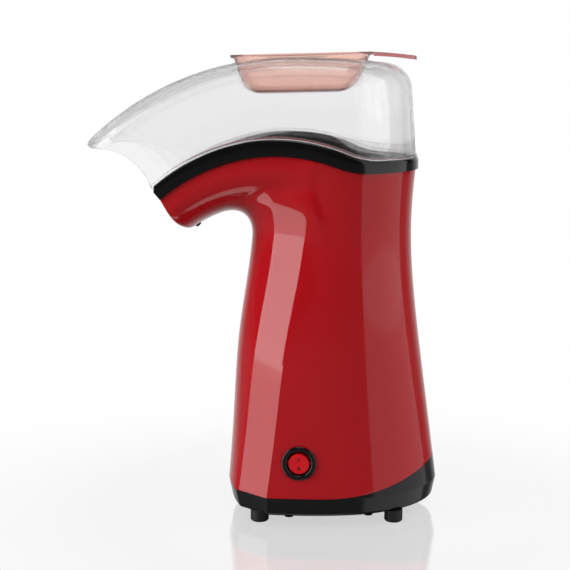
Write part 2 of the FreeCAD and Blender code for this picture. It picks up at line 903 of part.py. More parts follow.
def bearing(label, low):
    """Sintered bronze bush."""
    return turned_piece(label, [
        (shaft_bore, low),
        ("size.bearing_radius", low),
        ("size.bearing_radius", low + " + size.bearing_length"),
        (shaft_bore, low + " + size.bearing_length")])


bearing("lower_bearing", pocket_low)
bearing("upper_bearing", "size.fan_floor_z - size.bearing_length + size.bearing_rise")

armature_low = "(%s + size.armature_rise)" % can_low
magnet_low = "(%s + (size.armature_length - size.magnet_length) / 2)" % armature_low
magnets = []
for index, start in enumerate((-60, 120)):
    magnet = new_body("magnet_%d" % (index + 1))
    magnet_outer = can_inner + " - size.fit_gap"
    magnet_inner = "size.armature_radius + size.magnet_gap"
    turn(magnet, [
        (magnet_inner, magnet_low),
        (magnet_outer, magnet_low),
        (magnet_outer, magnet_low + " + size.magnet_length"),
        (magnet_inner, magnet_low + " + size.magnet_length")], "size.magnet_span")
    magnet.Placement = FreeCAD.Placement(V(0, 0, 0), FreeCAD.Rotation(UP, start))
    magnets.append(magnet)
group("motor_magnets", magnets)

motor_screws = []
for index, sign in enumerate(("", "-")):
    screw = new_body("motor_screw_%d" % (index + 1))
    turn(screw, [
        ("0", "size.fan_floor_z - size.motor_wall"),
        ("size.screw_radius", "size.fan_floor_z - size.motor_wall"),
        ("size.screw_radius", "size.fan_floor_z + size.fan_floor"),
        ("size.screw_head_radius", "size.fan_floor_z + size.fan_floor"),
        ("size.screw_head_radius", "size.fan_floor_z + size.fan_floor + size.motor_screw_head"),
        ("0", "size.fan_floor_z + size.fan_floor + size.motor_screw_head")])
    place(screw, "0", sign + "size.motor_screw_circle")
    motor_screws.append(screw)
group("motor_screws", motor_screws)

# Rectifier: small board with four diodes, soldered under the motor's end cap
board = primitive("Part::Box", "board", Length="size.board_length", Width="size.board_width",
                  Height="size.board_thickness")
place(board, "-size.board_length / 2", "-size.board_width / 2", cap_low + " - size.board_thickness")
diodes = []
for index in range(4):
    diode = primitive("Part::Cylinder", "diode_%d" % (index + 1), Radius="size.diode_radius",
                      Height="size.diode_length")
    diode.Placement = FreeCAD.Placement(V(0, 0, 0), FreeCAD.Rotation(V(0, 1, 0), 90))
    diode.setExpression(".Placement.Base.x", "-size.diode_length / 2")
    diode.setExpression(".Placement.Base.y", "size.diode_pitch * %.1f" % (index - 1.5))
    diode.setExpression(".Placement.Base.z",
                        cap_low + " - size.board_thickness - size.diode_radius * 0.9")
    diodes.append(diode)
rectifier = doc.addObject("Part::MultiFuse", "rectifier")
rectifier.Shapes = [board] + diodes
keep(rectifier, "rectifier_board")


# Rotor: shaft, armature, commutator and fan turn together

fan_low = "(size.fan_floor_z + size.fan_floor + size.fan_rise)"
fan_top = "(%s + size.fan_height)" % fan_low
turned_piece("motor_shaft", [
    ("0", pocket_low + " + size.shaft_foot"),
    ("size.shaft_radius", pocket_low + " + size.shaft_foot"),
    ("size.shaft_radius", fan_top + " + size.fan_plate"),
    ("0", fan_top + " + size.fan_plate")])

press_bore = "size.shaft_radius + size.fit_gap"
armature = new_body("armature")
turn(armature, [
    (press_bore, armature_low),
    ("size.armature_radius", armature_low),
    ("size.armature_radius", armature_low + " + size.armature_length"),
    (press_bore, armature_low + " + size.armature_length")])
slot_sketch = new_sketch(armature, "XY_Plane", armature_low)
add_circle(slot_sketch, "size.armature_radius - size.armature_slot_radius / 2", "0", "size.armature_slot_radius")
armature_slot = cut_up(armature, slot_sketch, "size.armature_length")
repeat_round(armature, [armature_slot], "size.armature_slots")
keep(armature, "armature")

commutator_low = can_low + " + size.commutator_rise"
turned_piece("commutator", [
    (press_bore, commutator_low),
    ("size.commutator_radius", commutator_low),
    ("size.commutator_radius", commutator_low + " + size.commutator_length"),
    (press_bore, commutator_low + " + size.commutator_length")])

fan = new_body("fan_impeller")
turn(fan, [
    (press_bore, fan_low),
    ("size.fan_hub_radius", fan_low),
    ("size.fan_hub_radius", fan_top + " - size.fan_plate"),
    ("size.fan_radius", fan_top + " - size.fan_plate"),
    ("size.fan_radius", fan_top),
    (press_bore, fan_top)])
blade_sketch = new_sketch(fan, "XY_Plane", fan_low)
half_blade = "size.fan_blade_wall / 2"
add_outline(blade_sketch, [
    ("size.fan_blade_root", "-" + half_blade),
    ("size.fan_radius", "-" + half_blade),
    ("size.fan_radius", half_blade),
    ("size.fan_blade_root", half_blade)])
blade = pad(fan, blade_sketch, "size.fan_height - size.fan_plate / 2")
repeat_round(fan, [blade], "size.fan_blades")
keep(fan, "fan_impeller")


# Air duct: metal sleeve from the fan housing's shoulder up to the chamber's flange

duct_inner = "(size.fan_case_radius + size.joint_gap)"
duct_outer = "(%s + size.duct_wall)" % duct_inner
flange_z = "(size.deck_z - size.deck)"
gasket_low = "(%s - size.chamber_flange - size.gasket)" % flange_z
turned_piece("air_duct", [
    (duct_inner, "size.fan_shoulder_z"),
    (duct_outer, "size.fan_shoulder_z"),
    (duct_outer, gasket_low + " - size.duct_flange"),
    ("size.duct_flange_radius", gasket_low + " - size.duct_flange"),
    ("size.duct_flange_radius", gasket_low),
    (duct_inner, gasket_low)])


# Heater: crossed mica sheets that stand on the fan housing's rim and carry two rings of coil

half_sheet = "size.heater_sheet / 2"
arm = "(%s - size.heater_edge_gap)" % duct_inner
cross = new_body("heater_cross")
cross_sketch = new_sketch(cross, "XY_Plane", "size.fan_case_top")
minus = "-%s"
add_outline(cross_sketch, [
    (arm, minus % half_sheet), (arm, half_sheet), (half_sheet, half_sheet), (half_sheet, arm),
    (minus % half_sheet, arm), (minus % half_sheet, half_sheet), (minus % arm, half_sheet),
    (minus % arm, minus % half_sheet), (minus % half_sheet, minus % half_sheet),
    (minus % half_sheet, minus % arm), (half_sheet, minus % arm), (half_sheet, minus % half_sheet)])
pad(cross, cross_sketch, "size.heater_height")
rings = []
ring_holes = []
for index in range(2):
    level = "size.fan_case_top + size.coil_low + size.coil_pitch * %d" % index
    ring = primitive("Part::Torus", "coil_ring_%d" % (index + 1), Radius1="size.coil_radius",
                     Radius2="size.coil_tube")
    hole = primitive("Part::Torus", "ring_hole_%d" % (index + 1), Radius1="size.coil_radius",
                     Radius2="size.coil_tube + size.joint_gap")
    rings.append(place(ring, height=level))
    ring_holes.append(place(hole, height=level))
all_holes = doc.addObject("Part::Compound", "ring_holes")
all_holes.Links = ring_holes
heater_frame = doc.addObject("Part::Cut", "heater_cut")
heater_frame.Base = cross
heater_frame.Tool = all_holes
keep(heater_frame, "heater_frame")
group("heating_coil", rings)


# Heat cut-outs: a thermostat and a thermal fuse against the outside of the duct

can_body = primitive("Part::Cylinder", "thermostat_can", Radius="size.thermostat_radius",
                     Height=duct_outer + " + size.thermostat_depth")
can_body.Placement = FreeCAD.Placement(V(0, 0, 0), FreeCAD.Rotation(V(1, 0, 0), -90))
can_body.setExpression(".Placement.Base.z", "size.cutout_height")
saddle = primitive("Part::Cylinder", "thermostat_saddle", Radius=duct_outer + " + size.cutout_gap",
                   Height="4 * size.thermostat_radius")
place(saddle, height="size.cutout_height - 2 * size.thermostat_radius")
thermostat = doc.addObject("Part::Cut", "thermostat_cut")
thermostat.Base = can_body
thermostat.Tool = saddle
keep(thermostat, "thermostat")

fuse = primitive("Part::Cylinder", "fuse_can", Radius="size.fuse_radius", Height="size.fuse_length")
place(fuse, duct_outer + " + size.cutout_gap + size.fuse_radius", "0",
      "size.cutout_height - size.fuse_length / 2")
keep(fuse, "thermal_fuse")


# Popping chamber: spun aluminium cup with upright air slots low in its wall

chamber = new_body("popping_chamber")
inner = "(size.chamber_radius - size.chamber_wall)"
bevel_top = "(size.chamber_bottom_z + size.chamber_bevel_height)"
turn(chamber, [
    ("0", "size.chamber_bottom_z"),
    ("size.chamber_radius - size.chamber_bevel", "size.chamber_bottom_z"),
    ("size.chamber_radius", bevel_top),
    ("size.chamber_radius", flange_z + " - size.chamber_flange"),
    ("size.chamber_flange_radius", flange_z + " - size.chamber_flange"),
    ("size.chamber_flange_radius", flange_z),
    (inner, flange_z),
    (inner, bevel_top),
    (inner + " - size.chamber_bevel", "size.chamber_bottom_z + size.chamber_wall"),
    ("0", "size.chamber_bottom_z + size.chamber_wall")])
louvre_sketch = new_sketch(chamber, "XY_Plane", "size.chamber_bottom_z + size.louvre_rise")
half_louvre = "size.louvre_width / 2"
add_outline(louvre_sketch, [
    (inner + " - size.chamber_wall", minus % half_louvre),
    ("size.chamber_radius + size.chamber_wall", minus % half_louvre),
    ("size.chamber_radius + size.chamber_wall", half_louvre),
    (inner + " - size.chamber_wall", half_louvre)])
louvre = cut_up(chamber, louvre_sketch, "size.louvre_height")
repeat_round(chamber, [louvre], "size.louvre_count")
keep(chamber, "popping_chamber")

turned_piece("chamber_gasket", [
    ("size.chamber_radius + size.joint_gap", gasket_low),
    ("size.duct_flange_radius", gasket_low),
    ("size.duct_flange_radius", gasket_low + " + size.gasket"),
    ("size.chamber_radius + size.joint_gap", gasket_low + " + size.gasket")])


# Housing: two moulded half shells that meet on the middle plane


def switch_wall_y():
    """Where the switch's axis meets the outside of the housing."""
    probe = Part.makeLine(V(got("switch_x"), -far_out, got("switch_z")), V(got("switch_x"), 0, got("switch_z")))
    return body_outer.common(probe).BoundBox.YMin


switch_lean = got("switch_lean")
switch_turn = FreeCAD.Rotation(V(1, 0, 0), 90 - switch_lean)
switch_place = FreeCAD.Placement(V(got("switch_x"), switch_wall_y(), got("switch_z")), switch_turn)


def along_switch(radius, low, high):
    """Cylinder on the switch's axis, measured outwards from the wall."""
    cylinder = Part.makeCylinder(radius, high - low, V(0, 0, low))
    cylinder.Placement = switch_place.multiply(cylinder.Placement)
    return cylinder


def lip_screw_cylinder(radius, low, high):
    """Cylinder on the lip screw's axis, which points at the bend of the spout."""
    start = on_bend(got("lip_screw_angle"), low)
    direction = on_bend(0, 0) - on_bend(got("lip_screw_angle"), 1)
    cylinder = Part.makeCylinder(radius, high - low, start, direction * -1)
    return cylinder


lip_outside = spout_bottom(got("lip_screw_angle"))
lip_seat = lip_outside + got("lip_screw_sink")

housing_inner = body_inner.fuse(spout_block(wall))


def make_housing():
    """Whole red housing before it is split."""
    keep_in = under_edge(got("housing_tongue")).cut(under_seam(gap / 2)).cut(mouth_front())
    block = body_outer.fuse(spout_block(0.0))
    shell = block.common(keep_in).cut(housing_inner)
    posts = []
    holes = []
    for x, y in post_places:
        low = got("post_joint_z") + gap / 2
        post = upright(x, y, low, low + got("post_length"), got("post_radius"))
        posts.append(post.common(body_block(wall / 2)))
        holes.append(upright(x, y, low, low + got("post_length") - got("screw_radius"),
                             got("screw_radius") + got("pilot_gap")))
    holes.append(along_switch(got("bezel_radius") + gap, -got("switch_seat"), got("bezel_radius")))
    holes.append(along_switch(got("switch_radius") + got("switch_hole_gap"),
                              -got("switch_depth"), got("bezel_radius")))
    holes.append(lip_screw_cylinder(got("lip_screw_head_radius") + got("peg_gap"), 0, lip_seat))
    holes.append(lip_screw_cylinder(got("lip_screw_radius") + got("peg_gap"), 0, lip_outside + 3 * wall))
    return shell.fuse(posts).cut(holes)


housing = make_housing()
left_side = box_between((-far_out, -far_out, 0), (far_out, 0, far_out))
right_side = box_between((-far_out, 0, 0), (far_out, far_out, far_out))
free_shape("housing_left", housing.common(left_side))
free_shape("housing_right", housing.common(right_side))


# Chute deck: heat-proof floor from the chamber's rim down the spout


deck_start_x = -got("chamber_flange_radius")
deck_centre = V(deck_start_x, 0, got("deck_z") - got("deck_bend"))


def deck_strip(high, low):
    """Strip across the trough between a point on the deck's top and one on its underside."""
    inset = wall + got("deck_gap")
    angle = math.degrees(math.atan2(bend_x - low.x, low.z - bend_z))
    reach = math.hypot(bend_x - low.x, low.z - bend_z)
    sink = (trough_wall_foot - reach) / (trough_wall_foot - spout_bottom(angle) - inset)
    half = V(0, spout_half_width(angle, inset) * (1 - sink ** trough_roundness) ** (1 / trough_roundness), 0)
    corners = [high - half, low - half, low + half, high + half]
    return Part.makePolygon(corners + corners[:1])


def level_strip(x):
    top = V(x, 0, got("deck_z"))
    return deck_strip(top, top - UP * got("deck"))


def slope_strip(angle):
    turn_by = math.radians(angle)
    outwards = V(-math.sin(turn_by), 0, math.cos(turn_by))
    top = deck_centre + outwards * got("deck_bend")
    return deck_strip(top, top - outwards * got("deck"))


def deck_underside(angle):
    """Distance from the bend of the spout to the deck's underside, along a ray from that bend."""
    ray = on_bend(angle, 1) - on_bend(angle, 0)
    offset = deck_centre - on_bend(angle, 0)
    along = offset.dot(ray)
    radius = got("deck_bend") - got("deck")
    return along + math.sqrt(radius ** 2 - offset.dot(offset) + along ** 2)


lip_boss_top = deck_underside(got("lip_screw_angle"))


def make_deck():
    plate = box_between((bend_x, -far_out, got("deck_z") - got("deck")), (far_out, far_out, got("deck_z")))
    plate = plate.common(body_block(wall + got("deck_gap")))
    run = Part.makeLoft([level_strip(bend_x), level_strip(deck_start_x)], True, True)
    steps = 6
    angles = [got("deck_end_angle") * i / steps for i in range(steps + 1)]
    slope = Part.makeLoft([slope_strip(angle) for angle in angles], True)
    overlap = got("deck") / 2
    boss = lip_screw_cylinder(got("lip_boss_radius"), lip_outside + wall + got("lip_boss_gap"), lip_boss_top + overlap)
    pilot_hole = lip_screw_cylinder(got("lip_screw_radius") + got("pilot_gap"), 0, lip_boss_top + overlap)
    mouth = upright(0, 0, 0, far_out, number(inner))
    return plate.fuse([run, slope, boss]).cut([mouth, pilot_hole, mouth_front()])


free_shape("chute_deck", make_deck())


def make_lip_screw():
    head = lip_screw_cylinder(got("lip_screw_head_radius"), lip_seat - got("lip_screw_head"), lip_seat)
    shank = lip_screw_cylinder(got("lip_screw_radius"), lip_seat - got("lip_screw_head") / 2, lip_boss_top)
    return head.fuse(shank)


free_shape("spout_screw", make_lip_screw())


# Collar: black trim over the housing's top edge, with the step that the lid stands on


def plan_block(radius, low, high, draft=0.0):
    """Upright block, round at the back and narrowing to the spout, drawn in towards the top."""
    front = -210.0
    wires = []
    for level, size_here in ((low, radius), (high, radius - draft * (high - low))):
        touch_x = -size_here * math.sin(taper)
        touch_y = size_here * math.cos(taper)
        end_y = side_reach(size_here, front)
        near = V(touch_x, -touch_y, level)
        far = V(touch_x, touch_y, level)
        wires.append(Part.Wire([
            Part.LineSegment(V(front, -end_y, level), near).toShape(),
            Part.Arc(near, V(size_here, 0, level), far).toShape(),
            Part.LineSegment(far, V(front, end_y, level)).toShape(),
            Part.LineSegment(V(front, end_y, level), V(front, -end_y, level)).toShape(),
        ]))
    return Part.makeLoft(wires, True, True)


collar_low = got("edge_back_z") - 60.0
collar_high = got("edge_crest_z") + 40.0


def make_collar():
    ring = plan_block(got("collar_radius"), collar_low, collar_high)
    ring = ring.cut(plan_block(got("collar_radius") - got("collar_inner_reach"), collar_low - 1, collar_high + 1))
    ring = ring.common(under_collar(0.0)).cut([under_edge(0.0), mouth_front()])
    tongue = body_block(-gap / 2).fuse(spout_block(-gap / 2)).common(under_edge(got("housing_tongue") + gap / 2))
    ring = ring.cut(tongue)
    seat = plan_block(got("lid_radius") + got("lid_gap"), collar_low - 1, collar_high + 1)
    seat = seat.cut(under_collar(-got("lid_seat")))
    return ring.cut(seat)


free_shape("collar", make_collar())


# Lid: clear hood that stands in the collar, open at the mouth and cut out on top for the cup

lid_low = got("edge_back_z") - 60.0
lid_high = got("lid_crest_z") + 15.0
lid_lean = math.tan(math.radians(got("lid_draft")))
lid_base_z = got("edge_back_z") + got("collar_back_height")


def lid_profile(inset):
    """Side view of the hood: long front arc and flatter back arc that meet at the crest."""
    crest = V(got("lid_crest_x"), 0, got("lid_crest_z") - inset)
    front_x = -205.0
    back_x = 90.0

    def roof(x, radius):
        return V(x, 0, crest.z - radius + math.sqrt(radius ** 2 - (x - crest.x) ** 2))

    front_radius = got("lid_front_radius") - inset
    back_radius = got("lid_back_radius") - inset
    edges = [
        Part.Arc(roof(front_x, front_radius), roof((front_x + crest.x) / 2, front_radius), crest).toShape(),
        Part.Arc(crest, roof((back_x + crest.x) / 2, back_radius), roof(back_x, back_radius)).toShape(),
    ]
    return across_y(close_run(edges, lid_low - 5))


def lid_block(inset):
    """Hood without its openings, its roof rounded over into the sides."""
    radius = got("lid_radius") - inset + lid_lean * (lid_base_z - lid_low)
    block = plan_block(radius, lid_low, lid_high, lid_lean).common(lid_profile(inset))
    roof_edges = []
    for edge in block.Edges:
        centre = edge.CenterOfMass
        high = edge.BoundBox.ZMin > lid_low + 10
        across_front = edge.BoundBox.XMax < -200
        across_crest = abs(edge.BoundBox.XMax - edge.BoundBox.XMin) < 0.01 and abs(centre.y) < 1
        upright_edge = edge.BoundBox.ZMax - edge.BoundBox.ZMin > 3 * (edge.BoundBox.XMax - edge.BoundBox.XMin)
        if high and not across_front and not across_crest and not upright_edge:
            roof_edges.append(edge)
    return block.makeFillet(got("lid_round") - inset, roof_edges)


def lid_mouth():
    """Scoop in front of the lid: a shallow arc from the tip to the collar's front end."""
    crest = V(got("lid_crest_x"), 0, got("lid_crest_z"))
    radius = got("lid_front_radius")
    tip_z = crest.z - radius + math.sqrt(radius ** 2 - (got("lid_tip_x") - crest.x) ** 2)
    tip = V(got("lid_tip_x"), 0, tip_z)
    foot = on_bend(got("mouth_angle"), got("edge_crest_radius") + got("collar_crest_height") - got("lid_seat"))
    run = foot - tip
    square = V(-run.z, 0, run.x).normalize()
    middle = tip + run * 0.5 + square * got("lid_mouth_sag")
    past_foot = foot + V(run.x, 0, run.z * 2).normalize() * 30
    corners = [past_foot, past_foot - UP * 100, V(-far_out, 0, past_foot.z - 100), V(-far_out, 0, tip.z + 60),
               V(tip.x - 25, 0, tip.z + 60), tip]
    edges = [Part.Arc(tip, middle, foot).toShape(), Part.LineSegment(foot, past_foot).toShape()]
    for start, end in zip(corners, corners[1:]):
        edges.append(Part.LineSegment(start, end).toShape())
    return across_y(edges)


cup_pivot = V(got("lid_crest_x"), 0, got("lid_crest_z") + got("cup_seat_gap"))


def tilt(shape):
    """Lean a shape drawn level about the lid's crest, as the cup leans."""
    shape.rotate(cup_pivot, V(0, 1, 0), -got("cup_tilt"))
    return shape


def rounded_rectangle(front, back, half, corner, level):
    """Level rectangle with round corners."""
    points = []
    for x, y, start in ((back, half, 0), (front, half, 90), (front, -half, 180), (back, -half, 270)):
        centre = V(x - math.copysign(corner, x - (front + back) / 2), y - math.copysign(corner, y), level)
        arc = []
        for angle in (start, start + 45, start + 90):
            turn_by = math.radians(angle)
            arc.append(centre + V(math.cos(turn_by), math.sin(turn_by), 0) * corner)
        points.append(arc)
    edges = []
    for index, arc in enumerate(points):
        edges.append(Part.Arc(*arc).toShape())
        edges.append(Part.LineSegment(arc[2], points[(index + 1) % 4][0]).toShape())
    return Part.Wire(edges)


cup_front = got("cup_x") - got("cup_length") / 2
cup_back = got("cup_x") + got("cup_length") / 2
cup_half = got("cup_width") / 2


def cup_outline(grow, level):
    """Outline of the cup at its rim, grown outwards."""
    return rounded_rectangle(cup_front - grow, cup_back + grow, cup_half + grow, got("cup_corner") + grow, level)


def cup_prism(grow, low, high):
    return Part.Face(cup_outline(grow, low)).extrude(UP * (high - low))


def make_lid():
    hollow = lid_block(got("lid_wall"))
    hood = lid_block(0.0)
    floor_gap = got("lid_gap") - got("lid_seat")
    rim_low = cup_pivot.z - 40
    opening = got("cup_opening_gap")
    seat = tilt(cup_prism(opening + got("cup_seat_wall"), rim_low, cup_pivot.z - got("cup_seat_gap")))
    bead = plan_block(got("lid_radius") + got("lid_bead"), lid_low, lid_high)
    bead = bead.common(under_collar(got("lid_gap") + got("lid_bead_height"))).cut(under_collar(got("lid_gap")))
    bead = bead.cut(plan_block(got("lid_radius") - got("lid_wall") / 2, lid_low - 1, lid_high + 1))
    hood = hood.cut(hollow).fuse(seat.cut(hollow)).fuse(bead)
    hood = hood.cut(tilt(cup_prism(opening, rim_low, cup_pivot.z + 40)))
    beside_skirt = under_collar(got("lid_gap")).cut(plan_block(got("lid_radius"), lid_low - 1, lid_high + 1))
    return hood.cut(under_collar(floor_gap)).cut([beside_skirt, lid_mouth()])


free_shape("lid", make_lid())


# Measuring cup: moulded scoop with a rim and a handle, let into the lid's roof


def cup_block(inset, top):
    """Cup walls drawn in towards a flat bottom with a round edge."""
    low = cup_pivot.z - got("cup_depth") + inset
    share = (got("cup_depth") - inset) / got("cup_depth")
    bottom = rounded_rectangle(
        cup_front + inset + got("cup_front_slope") * share, cup_back - inset - got("cup_back_slope") * share,
        cup_half - inset - got("cup_side_slope") * share, got("cup_corner") - inset, low)
    mouth = rounded_rectangle(cup_front + inset, cup_back - inset, cup_half - inset,
                              got("cup_corner") - inset, top)
    block = Part.makeLoft([bottom, mouth], True, True)
    edges = [e for e in block.Edges if e.BoundBox.ZMax < low + 0.01]
    return block.makeFillet(got("cup_bottom_round") - inset, edges)


def make_cup():
    top = cup_pivot.z + got("cup_rim")
    cup = cup_block(0.0, top).fuse(cup_prism(got("cup_rim_reach"), cup_pivot.z, top))
    root = cup_back - 4.0
    end = cup_back + got("handle_length")
    droop = got("handle_droop")
    thick = got("handle_thickness")
    upper = [V(root, 0, top), V((root + end) / 2, 0, top - droop * 0.22), V(end, 0, top - droop)]
    lower = [p - UP * thick for p in upper]
    side = [Part.Arc(*upper).toShape(), Part.LineSegment(upper[2], lower[2]).toShape(),
            Part.Arc(*lower[::-1]).toShape(), Part.LineSegment(lower[0], upper[0]).toShape()]
    half = got("handle_width") / 2
    plan = rounded_rectangle(root - 2 * got("handle_round"), end, half, got("handle_round"), top - 30)
    handle = across_y(side).common(Part.Face(plan).extrude(UP * 60))
    return tilt(cup.fuse(handle)).cut(tilt(cup_block(got("cup_wall"), top + 0.01)))


free_shape("measuring_cup", make_cup())


# Rocker switch: round body clipped into the near side, with a rocker on a cross pin


def switch_drill(name, radius, reach):
    """Cylinder along the rocker's pin."""
    drill = primitive("Part::Cylinder", name, Radius=radius, Height="2 * (%s)" % reach)
    drill.Placement = FreeCAD.Placement(V(0, 0, 0), FreeCAD.Rotation(V(0, 1, 0), 90))
    drill.setExpression(".Placement.Base.x", "-(%s)" % reach)
    drill.setExpression(".Placement.Base.z", "-size.rocker_axis_depth")
    return drill


well = "size.switch_well_radius"
bezel_top = "size.bezel_height - size.switch_seat"
switch_case = new_body("switch_case")
turn(switch_case, [
    ("0", "-size.switch_depth - size.switch_seat"),
    ("size.switch_radius", "-size.switch_depth - size.switch_seat"),
    ("size.switch_radius", "-size.switch_seat"),
    ("size.bezel_radius", "-size.switch_seat"),
    ("size.bezel_radius", bezel_top + " - size.bezel_chamfer"),
    ("size.bezel_radius - size.bezel_chamfer", bezel_top),
    (well + " + size.bezel_chamfer", bezel_top),
    (well, bezel_top + " - size.bezel_chamfer"),
    (well, "-size.switch_well"),
    ("0", "-size.switch_well")])
pin_reach = "size.rocker_pin_reach + size.joint_gap"
switch_body = doc.addObject("Part::Cut", "switch_cut")
switch_body.Base = switch_case
switch_body.Tool = switch_drill("pin_hole", "size.rocker_pin_radius + size.running_gap", pin_reach)
switch_body.Placement = switch_place
keep(switch_body, "switch_body")

rocker_disc = new_body("rocker_disc")
turn(rocker_disc, [
    ("0", "size.rocker_proud - size.rocker_thickness"),
    ("size.rocker_radius", "size.rocker_proud - size.rocker_thickness"),
    ("size.rocker_radius", "size.rocker_proud"),
    ("0", "size.rocker_proud")])
rocker = doc.addObject("Part::Fuse", "rocker_fuse")
rocker.Base = rocker_disc
rocker.Tool = switch_drill("rocker_pin", "size.rocker_pin_radius", "size.rocker_pin_reach")
rocker_axis = V(0, 0, -got("rocker_axis_depth"))
rocker_turn = FreeCAD.Rotation(V(1, 0, 0), got("rocker_tilt"))
rocker_shift = rocker_axis - rocker_turn.multVec(rocker_axis)
rocker.Placement = switch_place.multiply(FreeCAD.Placement(rocker_shift, rocker_turn))
keep(rocker, "switch_rocker")

blades = []
for index, sign in enumerate(("-", "")):
    blade_box = primitive("Part::Box", "blade_%d" % (index + 1), Length="size.blade_width",
                          Width="size.blade_thickness", Height="size.blade_length")
    place(blade_box, "-size.blade_width / 2", "%ssize.blade_pitch / 2 - size.blade_thickness / 2" % sign,
          "-size.switch_depth - size.switch_seat - size.blade_length")
    blades.append(blade_box)
terminals = group("switch_terminals", blades)
terminals.Placement = switch_place


# Test every object, then write each piece

doc.recompute()
for item in doc.Objects:
    if "Invalid" in item.State or "Error" in item.State:
        raise RuntimeError("%s failed: %s" % (item.Name, item.State))
os.makedirs("parts", exist_ok=True)
for piece in pieces:
    shape = piece.Shape
    if shape.isNull() or not shape.isValid() or not shape.Solids:
        raise RuntimeError("%s has no sound solid" % piece.Label)
for piece in pieces:
    piece.Shape.exportStep(os.path.join("parts", piece.Label + ".step"))
    print("%-18s solids %d volume %9.1f" % (piece.Label, len(piece.Shape.Solids), piece.Shape.Volume))
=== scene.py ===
import math

import bmesh
import bpy
import numpy as np
from mathutils import Matrix, Vector


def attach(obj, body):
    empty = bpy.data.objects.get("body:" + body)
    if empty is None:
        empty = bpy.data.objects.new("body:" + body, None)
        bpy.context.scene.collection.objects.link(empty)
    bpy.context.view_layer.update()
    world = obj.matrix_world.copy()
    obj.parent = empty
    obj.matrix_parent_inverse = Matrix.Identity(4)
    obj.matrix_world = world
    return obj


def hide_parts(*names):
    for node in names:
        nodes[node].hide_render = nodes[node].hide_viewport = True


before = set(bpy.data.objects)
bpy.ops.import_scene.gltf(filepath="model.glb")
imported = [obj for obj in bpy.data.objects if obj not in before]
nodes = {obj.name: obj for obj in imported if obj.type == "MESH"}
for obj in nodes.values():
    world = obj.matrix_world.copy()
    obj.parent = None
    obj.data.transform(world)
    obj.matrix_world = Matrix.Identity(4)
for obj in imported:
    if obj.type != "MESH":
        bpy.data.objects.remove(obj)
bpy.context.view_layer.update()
scene = bpy.context.scene
scene.view_settings.view_transform = "Standard"


# Studio: a pale, half polished table under a white sweep, with a tall soft box on each side and a small one above.
# The room in front of the object is dark in reflections only, so that a glossy side shows the boxes as clear bands.

def lamp(name, place, aim, width, height, power):
    """Rectangular soft box that faces a point."""
    light = bpy.data.lights.new(name, "AREA")
    light.shape = "RECTANGLE"
    light.size = width
    light.size_y = height
    light.energy = power
    box = bpy.data.objects.new(name, light)
    box.location = place
    box.rotation_euler = (Vector(aim) - Vector(place)).to_track_quat("-Z", "Y").to_euler()
    box.visible_camera = False
    scene.collection.objects.link(box)


middle = (-0.03, 0.0, 0.16)
lamp("right_soft_box", (1.28, -0.2, 0.5), middle, 2.0, 1.6, 9.5)
lamp("left_soft_box", (-1.35, -0.62, 0.45), middle, 0.8, 1.6, 17.0)
lamp("top_soft_box", (0.0, -0.25, 1.5), middle, 0.8, 0.8, 5.0)

def map_range(tree, source, result):
    """Node that maps one range of values to another."""
    made = tree.nodes.new("ShaderNodeMapRange")
    for name, value in zip(("From Min", "From Max", "To Min", "To Max"), (*source, *result)):
        made.inputs[name].default_value = value
    return made


def seen_or_through(tree):
    """One for rays from the camera or through clear plastic, and zero for the rest."""
    kinds = tree.nodes.new("ShaderNodeLightPath")
    either = tree.nodes.new("ShaderNodeMath")
    either.operation = "MAXIMUM"
    tree.links.new(kinds.outputs["Is Camera Ray"], either.inputs[0])
    tree.links.new(kinds.outputs["Is Transmission Ray"], either.inputs[1])
    return either.outputs[0]


fill_grey = 0.42
room_turn, room_light = (0.68, 0.95), (0.01, 1.0)
world = bpy.data.worlds.new("white_sweep")
scene.world = world
world.use_nodes = True
tree = world.node_tree
tree.nodes.clear()
sky_out = tree.nodes.new("ShaderNodeOutputWorld")
seen = tree.nodes.new("ShaderNodeBackground")
seen.inputs["Color"].default_value = (1, 1, 1, 1)
shown = tree.nodes.new("ShaderNodeBackground")
fill = tree.nodes.new("ShaderNodeBackground")
fill.inputs["Color"].default_value = (fill_grey, fill_grey, fill_grey, 1)
glossy_or_fill = tree.nodes.new("ShaderNodeMixShader")
choose = tree.nodes.new("ShaderNodeMixShader")
rays = tree.nodes.new("ShaderNodeLightPath")
where = tree.nodes.new("ShaderNodeTexCoord")
split = tree.nodes.new("ShaderNodeSeparateXYZ")
room = map_range(tree, room_turn, room_light)
tree.links.new(where.outputs["Generated"], split.inputs[0])
tree.links.new(split.outputs["Y"], room.inputs["Value"])
tree.links.new(room.outputs["Result"], shown.inputs["Color"])
tree.links.new(rays.outputs["Is Glossy Ray"], glossy_or_fill.inputs[0])
tree.links.new(fill.outputs[0], glossy_or_fill.inputs[1])
tree.links.new(shown.outputs[0], glossy_or_fill.inputs[2])
tree.links.new(seen_or_through(tree), choose.inputs[0])
tree.links.new(glossy_or_fill.outputs[0], choose.inputs[1])
tree.links.new(seen.outputs[0], choose.inputs[2])
tree.links.new(choose.outputs[0], sky_out.inputs[0])

